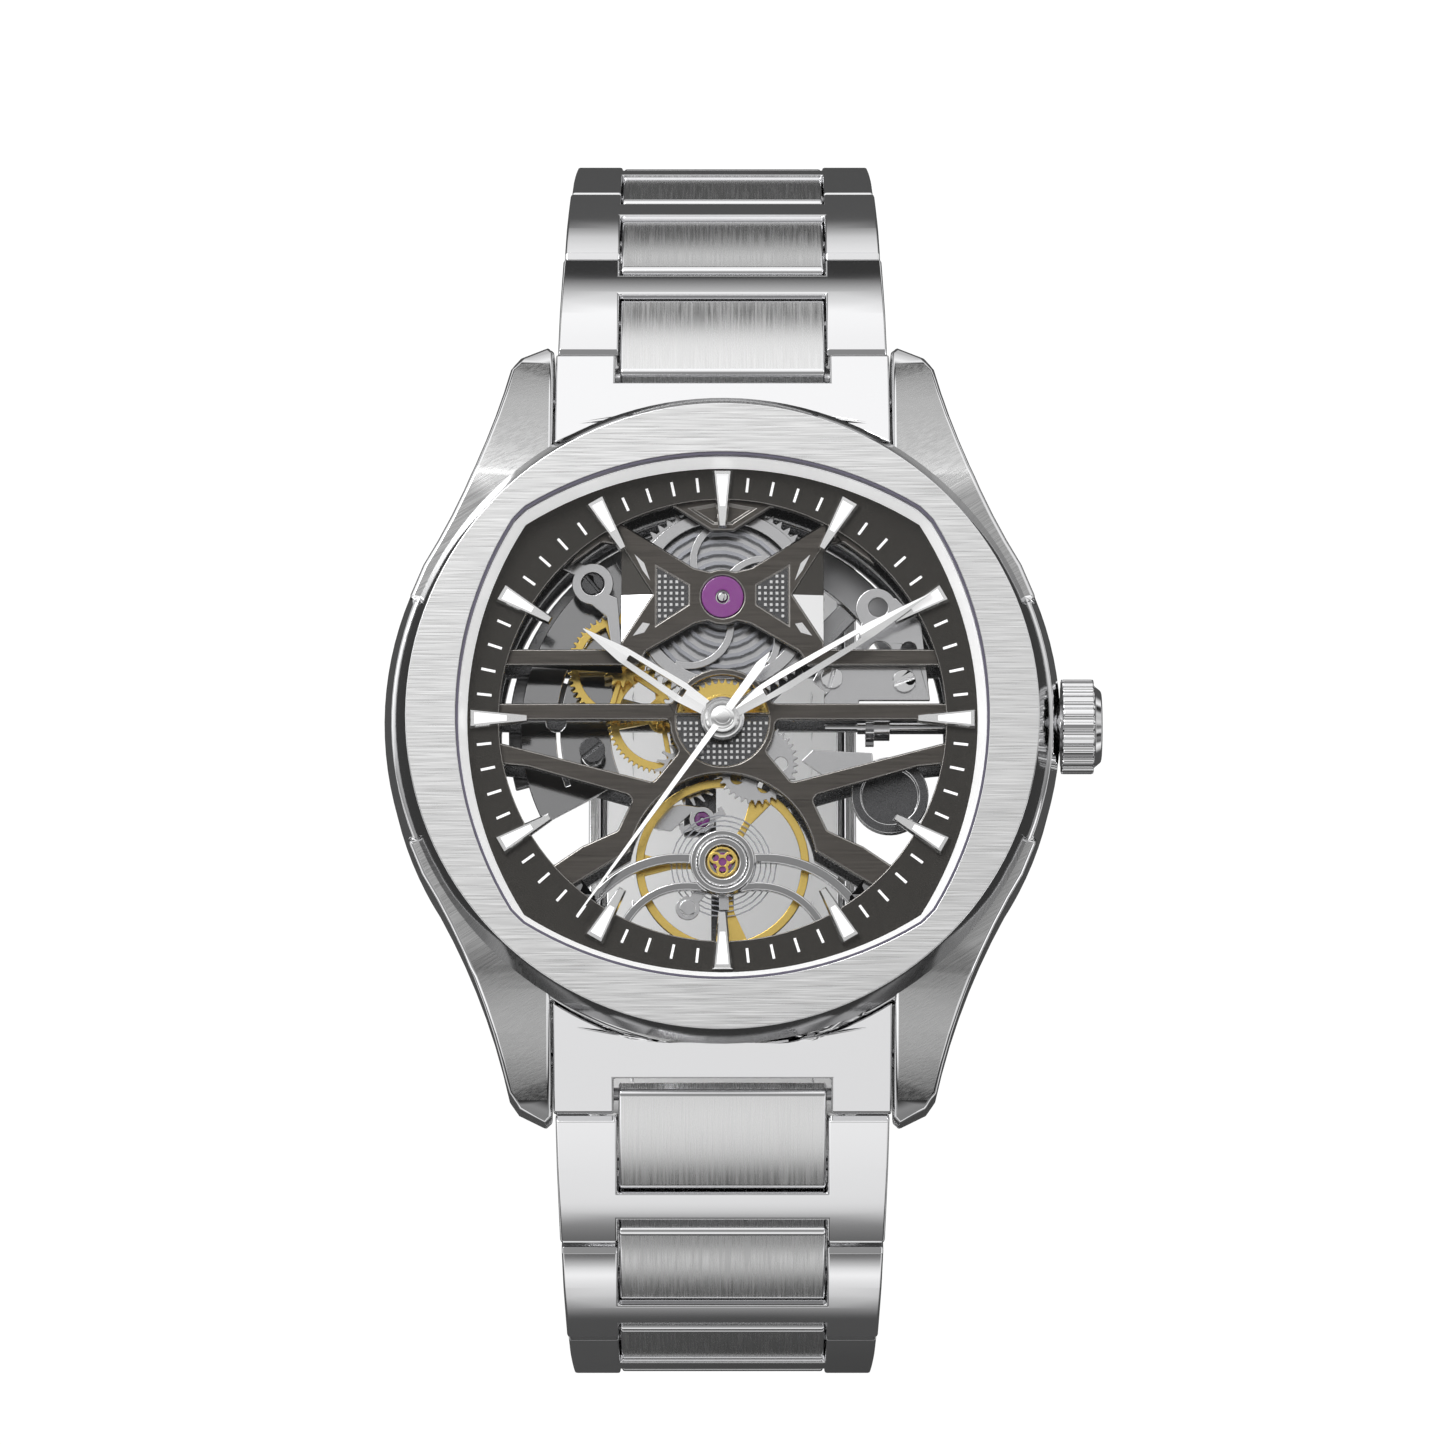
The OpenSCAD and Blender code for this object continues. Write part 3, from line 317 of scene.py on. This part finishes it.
def prism(bm, outline, z0, z1, inset=0.0, index=0):
    """A closed prism on a convex outline, its top drawn in by inset, with one material index."""
    middle = sum((Vector(p) for p in outline), Vector((0, 0))) / len(outline)
    low = [bm.verts.new((x, y, z0)) for x, y in outline]
    high = []
    for p in outline:
        away = Vector(p) - middle
        top = middle + away * (1 - inset / away.length)
        high.append(bm.verts.new((top.x, top.y, z1)))
    for face in [bm.faces.new(high), bm.faces.new(low[::-1])] + ring_faces(bm, low, high):
        face.material_index = index


def turned(points, angle):
    """Points (x, y) turned about the watch's axis by an angle in degrees."""
    c, s = math.cos(math.radians(angle)), math.sin(math.radians(angle))
    return [(x * c - y * s, x * s + y * c) for x, y in points]


# ---- Paint rules: which finish each face of a node gets ----

# Each rule takes a face and the two corners of the box around the solid that the face belongs to.
# Limits on normals are shares of a unit normal, and the others are in millimetres.
FACES_UP = 0.985
FACES_DOWN = -0.9
LUG_UP, LUG_ALONG, LUG_START = 0.55, 0.67, 8.0
CASE_SIDE_R = 18.3
PIN_LENGTH, PIN_SLACK = 14.0, 0.6
LINK_TOP, LINK_FLANK = 3.5, 0.5
REGULATOR_SCREW = 1.5
PALLET_STONE = 0.75
SHOCK_JEWEL_TOP, SHOCK_JEWEL = 7.83, 1.3
BLADE_UP, BLADE_FLANK = 0.4, 0.3
CRESCENT_RIGHT, CRESCENT_TOP = -3.0, 5.0
CUP_LEFT, CUP, CUP_TOP = 7.5, 5.0, 7.12
DARK_SCREWS_RIGHT = -5.0


def faces_up(face):
    return face.normal.z > FACES_UP


def width_of(low, high):
    return (high.x - low.x) / MM


def paint_bezel(face, low, high):
    # All but the brushed top, that is the bezel's wall, gets the darker polished steel of painted
    # shade
    return "brushed_x" if faces_up(face) else "shaded"


def paint_case(face, low, high):
    """Brushed tops on the lugs, darker as painted shade, polished sides, satin inside."""
    middle = face.calc_center_median() / MM
    sideways = abs(face.normal.y) < LUG_ALONG
    if face.normal.z > LUG_UP and abs(middle.y) > LUG_START and sideways:
        return "brushed_lug"
    return "polished" if math.hypot(middle.x, middle.y) > CASE_SIDE_R else "satin"


def paint_link(face, low, high):
    """Satin pins, brushed tops on the centre links, and the H-links polished."""
    wide = width_of(low, high)
    if wide > PIN_LENGTH:
        pin = (high - low).length / MM < wide + PIN_SLACK
        return "satin" if pin else "polished"
    flat = abs(face.normal.x) < LINK_FLANK and face.calc_area() > LINK_TOP * MM * MM
    return "brushed_y" if flat else "polished"


def paint_back(face, low, high):
    return "brushed_x" if face.normal.z < FACES_DOWN else "polished"


def paint_regulator(face, low, high):
    return "gilt" if width_of(low, high) < REGULATOR_SCREW else "rhodium"


def paint_fork(face, low, high):
    return "ruby" if (high - low).length < PALLET_STONE * MM else "rhodium"


def paint_shock(face, low, high):
    jewel = high.z < SHOCK_JEWEL_TOP * MM and width_of(low, high) < SHOCK_JEWEL
    return "jewel" if jewel else "gilt"


def paint_barrel(face, low, high):
    return "rhodium" if faces_up(face) else "dark_steel"


def paint_cover(face, low, high):
    return "brushed_y" if abs(face.normal.x) < BLADE_FLANK else "polished"


def paint_blade(face, low, high):
    # Faces that look up get the near-white steel of painted light
    return "blade" if face.normal.z > BLADE_UP else paint_cover(face, low, high)


def paint_setting(face, low, high):
    """A crescent on the left in darker steel as painted shade, a dark cup on the right, and bright
    plates between them.
    """
    if high.x < CRESCENT_RIGHT * MM and high.z < CRESCENT_TOP * MM:
        return "shaded"
    cup = low.x > CUP_LEFT * MM and width_of(low, high) < CUP and high.z < CUP_TOP * MM
    return "dark_steel" if cup else "rhodium"


def paint_screws(face, low, high):
    return "dark_steel" if high.x < DARK_SCREWS_RIGHT * MM else "polished"


# Each node's finish or paint rule, the rounding of its edges in mm, and the finish of the rounding
FINISHES = {
    "case_middle": (paint_case, 0.28, "polished"),
    "bezel": (paint_bezel, 0.05, "polished"),
    "crystal": ("glass", 0.08, None),
    "crystal_gasket": ("gasket", 0.0, None),
    "flange_ring": ("rehaut_painted_glow", 0.0, None),
    "chapter_ring": ("ring", 0.06, "bridge_edge"),
    "dial_bridge": ("bridge", 0.11, "bridge_edge"),
    "dial_jewels": ("jewel", 0.08, None),
    "main_plate": ("dark_steel", 0.08, None),
    "casing_ring": ("dark_steel", 0.0, None),
    "pallet_bridge": ("rhodium", 0.05, "polished"),
    # The balance bridge gets the darker polished steel of painted shade
    "balance_bridge": ("shaded", 0.09, "polished"),
    "regulator": (paint_regulator, 0.04, "polished"),
    "shock_setting": (paint_shock, 0.03, None),
    "setting_plate": (paint_setting, 0.06, "polished"),
    "movement_screws": (paint_screws, 0.05, None),
    "barrel_arbor": ("polished", 0.08, None),
    "crown_tube": ("satin", 0.0, None),
    "case_back": (paint_back, 0.08, "polished"),
    "back_glass": ("glass", 0.05, None),
    "back_gasket": ("rubber", 0.0, None),
    "end_link_12": ("polished", 0.15, None),
    "end_link_6": ("polished", 0.15, None),
    "spring_bars": ("satin", 0.05, None),
    "crown": ("polished", 0.12, None),
    "stem": ("rhodium", 0.0, None),
    "crown_gasket": ("rubber", 0.0, None),
    "sliding_pinion": ("rhodium", 0.0, None),
    "barrel": (paint_barrel, 0.04, "polished"),
    "mainspring": ("spring", 0.0, None),
    "second_wheel": ("gilt", 0.03, None),
    "third_wheel": ("gilt", 0.03, None),
    "seconds_arbor": ("gilt", 0.0, None),
    "escape_wheel": ("rhodium", 0.0, None),
    "pallet_fork": (paint_fork, 0.0, None),
    "balance_wheel": ("gilt", 0.05, None),
    "hairspring": ("spring", 0.0, None),
    "cannon_pinion": ("polished", 0.0, None),
    "minute_wheel": ("rhodium", 0.03, None),
    "hour_wheel": ("gilt", 0.03, None),
    "rotor": ("rotor", 0.08, "polished"),
    "clasp_inner_blade": (paint_blade, 0.1, "polished"),
    "clasp_middle_blade": (paint_blade, 0.1, "polished"),
    "clasp_cover": (paint_cover, 0.15, "polished"),
    "push_button_left": ("polished", 0.1, None),
    "push_button_right": ("polished", 0.1, None),
}
LINK_ROWS = 5
for side in ("upper", "lower"):
    for row in range(1, LINK_ROWS + 1):
        FINISHES[f"{side}_link_{row}"] = (paint_link, 0.16, "polished")
for node, (paint, bevel, edge) in FINISHES.items():
    dress(node, paint, bevel, edge)


# ---- Hour indices: faceted batons with a white inlay ----

ring_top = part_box("chapter_ring")[1].z / MM
INDEX_LEN = 3.6
INDEX_IN, INDEX_OUT = 0.25, 0.65  # half widths at the inner and outer ends
INDEX_H = 0.5
INDEX_WAIST = 0.24
LONG_START, SHORT_START = 12.05, 12.3
CORE_IN, CORE_OUT = 0.08, 0.06  # how far the top face stays back from the two ends
CORE_SIDE_IN, CORE_SIDE_OUT = 0.09, 0.15  # and from the flanks
INLAY_FROM, INLAY_TO = 0.36, 0.93  # shares of the baton's length
INLAY_IN, INLAY_OUT = 0.17, 0.38
HOUR_STEP, MINUTE_STEP = 30, 6


def index_start(hour):
    return LONG_START if hour % 3 == 0 else SHORT_START


def wedge(start, end, inner, outer, angle):
    """A bar across the ring, its half widths given at the inner and outer ends."""
    return turned([(start, -inner), (end, -outer), (end, outer), (start, inner)], angle)


bm = bmesh.new()
for hour in range(12):
    start, angle = index_start(hour), hour * HOUR_STEP
    end = start + INDEX_LEN
    baton = wedge(start, end, INDEX_IN, INDEX_OUT, angle)
    core = wedge(start + CORE_IN, end - CORE_OUT, INDEX_IN - CORE_SIDE_IN,
                 INDEX_OUT - CORE_SIDE_OUT, angle)
    low = [bm.verts.new((x, y, ring_top)) for x, y in baton]
    waist = [bm.verts.new((x, y, ring_top + INDEX_WAIST)) for x, y in baton]
    high = [bm.verts.new((x, y, ring_top + INDEX_H)) for x, y in core]
    bm.faces.new(high)
    bm.faces.new(low[::-1])
    ring_faces(bm, low, waist)
    ring_faces(bm, waist, high)
batons = build("hour_batons", bm, ["hand"], "case")
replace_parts(batons, "hour_indices")

bm = bmesh.new()
for hour in range(12):
    start = index_start(hour)
    prism(bm, wedge(start + INDEX_LEN * INLAY_FROM, start + INDEX_LEN * INLAY_TO,
                    INLAY_IN, INLAY_OUT, hour * HOUR_STEP),
          ring_top + INDEX_H - 0.05, ring_top + INDEX_H + 0.025, 0.02)
build("index_inlays", bm, ["lume_painted_glow"], "case")

# ---- Minute bars on the chapter ring ----

BAR_FROM, BAR_TO, BAR_HALF = 14.4, 15.3, 0.08

bm = bmesh.new()
for minute in range(60):
    if minute % 5:
        prism(bm, wedge(BAR_FROM, BAR_TO, BAR_HALF, BAR_HALF, minute * MINUTE_STEP),
              ring_top - 0.01, ring_top + 0.02)
build("minute_bars", bm, ["lume_painted_glow"], "case")

# ---- Waffle panels of the dial bridge ----

bridge_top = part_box("dial_bridge")[1].z / MM
STUD_PITCH = 0.36
STUD = 0.12  # half the width of a stud
STUD_TOP, STUD_INSET = 0.16, 0.05
BASE_LOW, BASE_TOP = 0.005, 0.05
PANEL_SINK = 0.15


def inside(point, outline, margin):
    """Whether a point lies inside a convex outline, drawn anticlockwise, by at least margin."""
    for i, a in enumerate(outline):
        b = outline[(i + 1) % len(outline)]
        edge = Vector((b[0] - a[0], b[1] - a[1])).normalized()
        if edge.x * (point[1] - a[1]) - edge.y * (point[0] - a[0]) < margin:
            return False
    return True


def waffle(name, outline, z, spare=lambda p: True):
    """A thin dark plate with rows of small bright studs, left out where spare says no."""
    bm = bmesh.new()
    prism(bm, outline, z + BASE_LOW, z + BASE_TOP, index=1)
    xs, ys = zip(*outline)
    rows = int((max(ys) - min(ys)) / STUD_PITCH)
    columns = int((max(xs) - min(xs)) / STUD_PITCH)
    for i in range(columns + 1):
        for j in range(rows + 1):
            x = min(xs) + (i + 0.5) * STUD_PITCH
            y = min(ys) + (j + 0.5) * STUD_PITCH
            if inside((x, y), outline, STUD) and spare((x, y)):
                square = [(x - STUD, y - STUD), (x + STUD, y - STUD),
                          (x + STUD, y + STUD), (x - STUD, y + STUD)]
                prism(bm, square, z + 0.045, z + STUD_TOP, STUD_INSET)
    build(name, bm, ["hand", "dark_steel"], "case")


PANEL = [(-4.1, 9.69), (-4.1, 6.04), (-2.13, 7.32), (-2.13, 8.53)]
waffle("waffle_left", PANEL, bridge_top - PANEL_SINK)
waffle("waffle_right", [(-x, y) for x, y in PANEL[::-1]], bridge_top - PANEL_SINK)

# ---- Facets of the bow-tie ----

EDGE_X, APEX_X = -6.28, -4.36
FACET_TOP, FACET_MIDDLE, FACET_BOTTOM = 11.0, 7.93, 4.96
CREST, VALLEY, FOOT = 0.02, -0.28, -0.34  # heights from the bridge's top
SLIM_BLADES = (((-5.49, 10.5), (-4.86, 9.95), (-4.48, 8.77), (-5.0, 9.45)),
               ((-5.6, 5.3), (-4.95, 6.2), (-4.48, 6.1), (-4.85, 5.5)))


def facets(name, side):
    """Half-pyramid at the outer end of the bow-tie, and the two slim blades beside it."""
    bm = bmesh.new()

    def vert(x, y, height):
        return bm.verts.new((x * side, y, bridge_top + height))

    apex = vert(APEX_X, FACET_MIDDLE, CREST)
    upper = vert(EDGE_X, FACET_TOP, CREST)
    level = vert(EDGE_X, FACET_MIDDLE, VALLEY)
    lower = vert(EDGE_X, FACET_BOTTOM, CREST)
    foot_top = vert(EDGE_X, FACET_TOP, FOOT)
    foot_bottom = vert(EDGE_X, FACET_BOTTOM, FOOT)
    foot_apex = vert(APEX_X, FACET_MIDDLE, FOOT)
    # The half nearer 12 o'clock slopes towards 6 o'clock and is painted dark as shade; the half
    # nearer 6 o'clock slopes towards 12 o'clock and the key light and is painted pale as light
    dark = ((upper, level, apex), (upper, foot_top, level), (level, foot_top, foot_bottom),
            (foot_top, foot_apex, foot_bottom), (apex, foot_apex, foot_top),
            (apex, foot_top, upper))
    pale = ((level, lower, apex), (level, foot_bottom, lower), (lower, foot_bottom, foot_apex),
            (lower, foot_apex, apex))
    for index, triangles in enumerate((dark, pale)):
        for triangle in triangles:
            bm.faces.new(triangle).material_index = index
    for blade in SLIM_BLADES:
        prism(bm, [(x * side, y) for x, y in blade], bridge_top - 0.01, bridge_top + 0.05, 0.04, 1)
    build(name, bm, ["facet_painted_shade", "hand"], "case")


facets("facets_left", 1)
facets("facets_right", -1)

# ---- Half-disc waffle under the hands ----

WAFFLE_R = 2.86
HUB_R = 1.35
HALF_DISC_SINK = 0.2
HALF_DISC_TOP = 0.3  # how far the half-disc passes the hands' axis

half = [(WAFFLE_R * math.cos(math.radians(a)), WAFFLE_R * math.sin(math.radians(a)))
        for a in range(-180, 1, 10)]
waffle("waffle_centre", half + [(WAFFLE_R, HALF_DISC_TOP), (-WAFFLE_R, HALF_DISC_TOP)],
       bridge_top - HALF_DISC_SINK, spare=lambda p: math.hypot(*p) > HUB_R)


# ---- Hands: two facets that slope from a ridge, with an open slot ----


HAND_SLOPE = 0.42  # fall of a facet per millimetre from the ridge
SLOT_TAPER = 0.3
SLOT_STEP = 0.02
HUB_TURNS = 64


def between(stations, x):
    """The half width at x, in line between the stations around it."""
    for (x0, w0), (x1, w1) in zip(stations, stations[1:]):
        if x0 <= x <= x1:
            return w0 + (w1 - w0) * (x - x0) / (x1 - x0)
    return stations[-1][1]


def hand(name, node, clock, z, height, stations, hub, bore, slot=None):
    """A hand that lies at clock degrees from 12, its underside at z.

    stations: (x, outer half width) along the hand; slot: (x0, x1, half width) of the open slot.
    """
    bm = bmesh.new()
    cuts = {x for x, _ in stations}
    if slot:
        cuts |= {slot[0], slot[1], slot[0] + SLOT_STEP, slot[1] - SLOT_STEP}

    def inner(x):
        """Half width of the slot at x, or none outside it."""
        if not slot or not slot[0] + SLOT_STEP / 2 < x < slot[1] - SLOT_STEP / 2:
            return 0.0
        x0, x1, wide = slot
        return min(wide * (1 - SLOT_TAPER * (x - x0) / (x1 - x0)), between(stations, x) - 0.08)

    for side in (1, -1):
        loops = []
        for x in sorted(cuts):
            a, b = inner(x), between(stations, x)
            outline = turned([(x, side * w) for w in (a, b, b, a)], 90 - clock)
            levels = (z + height - HAND_SLOPE * a, z + height - HAND_SLOPE * b - 0.01, z, z)
            ring = [bm.verts.new((p[0], p[1], level)) for p, level in zip(outline, levels)]
            loops.append((a, ring))
        for (slit_one, one), (slit_two, two) in zip(loops, loops[1:]):
            walls = 4 if slit_one or slit_two else 3
            for i in range(walls):
                j = (i + 1) % 4
                bm.faces.new((one[i], one[j], two[j], two[i]))
        bm.faces.new(loops[0][1])
        bm.faces.new(loops[-1][1])
    collar = z + height + 0.03
    profile = [(bore, z), (hub, z), (hub, z + height * 0.75), (hub - 0.12, collar),
               (bore + 0.1, collar), (bore, z + height - 0.02)]
    rings = [[bm.verts.new((r * math.cos(turn), r * math.sin(turn), h)) for r, h in profile]
             for turn in (math.tau * k / HUB_TURNS for k in range(HUB_TURNS))]
    for k, one in enumerate(rings):
        two = rings[(k + 1) % HUB_TURNS]
        for i in range(len(profile)):
            j = (i + 1) % len(profile)
            bm.faces.new((one[i], two[i], two[j], one[j]))
    bmesh.ops.remove_doubles(bm, verts=bm.verts, dist=1e-5)
    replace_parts(build(name, bm, ["hand"], body_of(node), smooth=True), node)


hand("hour_hand_faceted", "hour_hand", 303, 9.02, 0.34,
     [(0.9, 0.45), (3.1, 0.66), (7.4, 0.5), (10.3, 0.03)], 1.35, 0.91, (2.8, 7.0, 0.27))
hand("minute_hand_faceted", "minute_hand", 59, 9.42, 0.3,
     [(0.6, 0.42), (4.5, 0.62), (10.8, 0.46), (15.1, 0.03)], 1.05, 0.51, (3.0, 10.0, 0.24))
hand("seconds_hand_faceted", "seconds_hand", 215.8, 9.76, 0.15,
     [(-5.0, 0.01), (-4.0, 0.28), (-1.2, 0.24), (0.0, 0.2), (15.3, 0.045)], 0.7, 0.18)

# Polished cap on the seconds hand's hub
CAP_R, CAP_FLAT, CAP_Z = 0.5, 0.16, 9.94

bm = bmesh.new()
bmesh.ops.create_uvsphere(bm, u_segments=48, v_segments=24, radius=CAP_R)
bmesh.ops.scale(bm, vec=(1, 1, CAP_FLAT), verts=bm.verts)
bmesh.ops.translate(bm, vec=(0, 0, CAP_Z), verts=bm.verts)
build("hand_cap", bm, ["hand"], body_of("seconds_hand"), smooth=True)


# ---- Studio ----


def grade(ramp, stops):
    """Set a colour ramp to grey stops."""
    while len(ramp.color_ramp.elements) < len(stops):
        ramp.color_ramp.elements.new(0.5)
    for element, (place, grey) in zip(ramp.color_ramp.elements, stops):
        element.position = place
        element.color = (grey, grey, grey, 1.0)


# Brightness of the room by degrees from overhead towards 12 o'clock: pale panels and dark gaps
ROOM = ((-180, 0.10), (-100, 0.10), (-93, 0.30), (-84, 0.40), (-77, 0.06), (-66, 0.03), (-61, 0.35),
        (-57, 1.15), (-38, 1.25), (-25, 0.45), (-5, 0.26), (5, 0.42), (12, 0.75), (35, 1.20),
        (60, 0.90), (76, 1.00), (82, 0.45), (86, 0.04), (95, 0.03), (112, 0.10), (180, 0.10))
LEAN = (-0.7, 0.45, 0.0)
LEAN_FROM, LEAN_TO = -0.6, 0.5
FAR_SIDE, NEAR_SIDE = 0.6, 1.1  # strength at the two ends of the lean


def room():
    """Long panels that run from 9 to 3 o'clock, brighter towards 12 o'clock and the left."""
    world = bpy.data.worlds.new("studio")
    bpy.context.scene.world = world
    world.use_nodes = True
    nodes, links = world.node_tree.nodes, world.node_tree.links
    coords = nodes.new("ShaderNodeTexCoord")
    split = nodes.new("ShaderNodeSeparateXYZ")
    angle = nodes.new("ShaderNodeMath")
    angle.operation = "ARCTAN2"
    turn = nodes.new("ShaderNodeMapRange")
    turn.inputs["From Min"].default_value = -math.pi
    turn.inputs["From Max"].default_value = math.pi
    ramp = nodes.new("ShaderNodeValToRGB")
    grade(ramp, [((degrees + 180.0) / 360.0, grey) for degrees, grey in ROOM])
    links.new(coords.outputs["Generated"], split.inputs["Vector"])
    links.new(split.outputs["Y"], angle.inputs[0])
    links.new(split.outputs["Z"], angle.inputs[1])
    links.new(angle.outputs["Value"], turn.inputs["Value"])
    links.new(turn.outputs["Result"], ramp.inputs["Fac"])
    links.new(ramp.outputs["Color"], nodes["Background"].inputs["Color"])
    lean = nodes.new("ShaderNodeVectorMath")
    lean.operation = "DOT_PRODUCT"
    lean.inputs[1].default_value = LEAN
    links.new(coords.outputs["Generated"], lean.inputs[0])
    side = nodes.new("ShaderNodeMapRange")
    side.inputs["From Min"].default_value = LEAN_FROM
    side.inputs["From Max"].default_value = LEAN_TO
    side.inputs["To Min"].default_value = FAR_SIDE
    side.inputs["To Max"].default_value = NEAR_SIDE
    links.new(lean.outputs["Value"], side.inputs["Value"])
    links.new(side.outputs["Result"], nodes["Background"].inputs["Strength"])


room()


def softbox(name, place, size, power):
    """A square area light that looks at the watch."""
    light = bpy.data.lights.new(name, "AREA")
    light.size = size
    light.energy = power
    lamp = bpy.data.objects.new(name, light)
    bpy.context.scene.collection.objects.link(lamp)
    lamp.location = place
    lamp.rotation_euler = (-Vector(place)).to_track_quat("-Z", "Y").to_euler()


softbox("key", (-0.3, 0.5, 0.75), 0.4, 2.6)
softbox("fill", (0.7, -0.25, 0.55), 0.4, 0.5)

FLOOR_R = 0.9
FLOOR_GAP = 0.0002
# Glow of the floor by distance from its middle in metres, as the polished links mirror it
FLOOR_RING = ((0.0, 0.04), (0.13, 0.02), (0.18, 0.6), (0.3, 0.95), (0.45, 0.6), (0.6, 0.06),
              (1.0, 0.04))
FLOOR_GREY = (0.04, 0.04, 0.04, 1.0)

floor_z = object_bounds()[0][2] - FLOOR_GAP
bm = bmesh.new()
bmesh.ops.create_circle(bm, cap_ends=True, segments=96, radius=FLOOR_R)
bmesh.ops.translate(bm, vec=(0, 0, floor_z), verts=bm.verts)
mesh = bpy.data.meshes.new("floor")
bm.to_mesh(mesh)
bm.free()
floor = bpy.data.objects.new("floor", mesh)
bpy.context.scene.collection.objects.link(floor)


def floor_material():
    """White to the camera, and to the watch a pale ring around a dark middle."""
    material = bpy.data.materials.new("floor")
    material.use_nodes = True
    nodes, links = material.node_tree.nodes, material.node_tree.links
    shader = nodes["Principled BSDF"]
    shader.inputs["Base Color"].default_value = FLOOR_GREY
    shader.inputs["Roughness"].default_value = 0.9
    shader.inputs["Emission Color"].default_value = WHITE
    coords = nodes.new("ShaderNodeTexCoord")
    length = nodes.new("ShaderNodeVectorMath")
    length.operation = "LENGTH"
    links.new(coords.outputs["Object"], length.inputs[0])
    glow = nodes.new("ShaderNodeValToRGB")
    grade(glow, FLOOR_RING)
    links.new(length.outputs["Value"], glow.inputs["Fac"])
    path = nodes.new("ShaderNodeLightPath")
    seen = nodes.new("ShaderNodeMix")
    seen.inputs["B"].default_value = 1.0
    links.new(glow.outputs["Color"], seen.inputs["A"])
    links.new(path.outputs["Is Camera Ray"], seen.inputs["Factor"])
    links.new(seen.outputs["Result"], shader.inputs["Emission Strength"])
    return material


mesh.materials.append(floor_material())

# ---- Camera ----

DISTANCE = 0.5
TILT = math.radians(9.5)
SENSOR = 36.0
LENS = 201.8
AIM_BELOW = 0.55 * MM  # towards 6 o'clock from the dial's middle
CLIP_NEAR, CLIP_FAR = 0.01, 20.0

bezel_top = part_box("bezel")[1].z
camera = bpy.data.cameras.new("camera")
camera.sensor_width = SENSOR
camera.lens = LENS
camera.clip_start = CLIP_NEAR
camera.clip_end = CLIP_FAR
eye = bpy.data.objects.new("camera", camera)
bpy.context.scene.collection.objects.link(eye)
aim = Vector((0.0, -AIM_BELOW, bezel_top))
eye.location = Vector((0.0, -DISTANCE * math.sin(TILT),
                       bezel_top + DISTANCE * math.cos(TILT)))
eye.rotation_euler = (aim - eye.location).to_track_quat("-Z", "Y").to_euler()
bpy.context.scene.camera = eye
bpy.context.scene.view_settings.view_transform = "Standard"
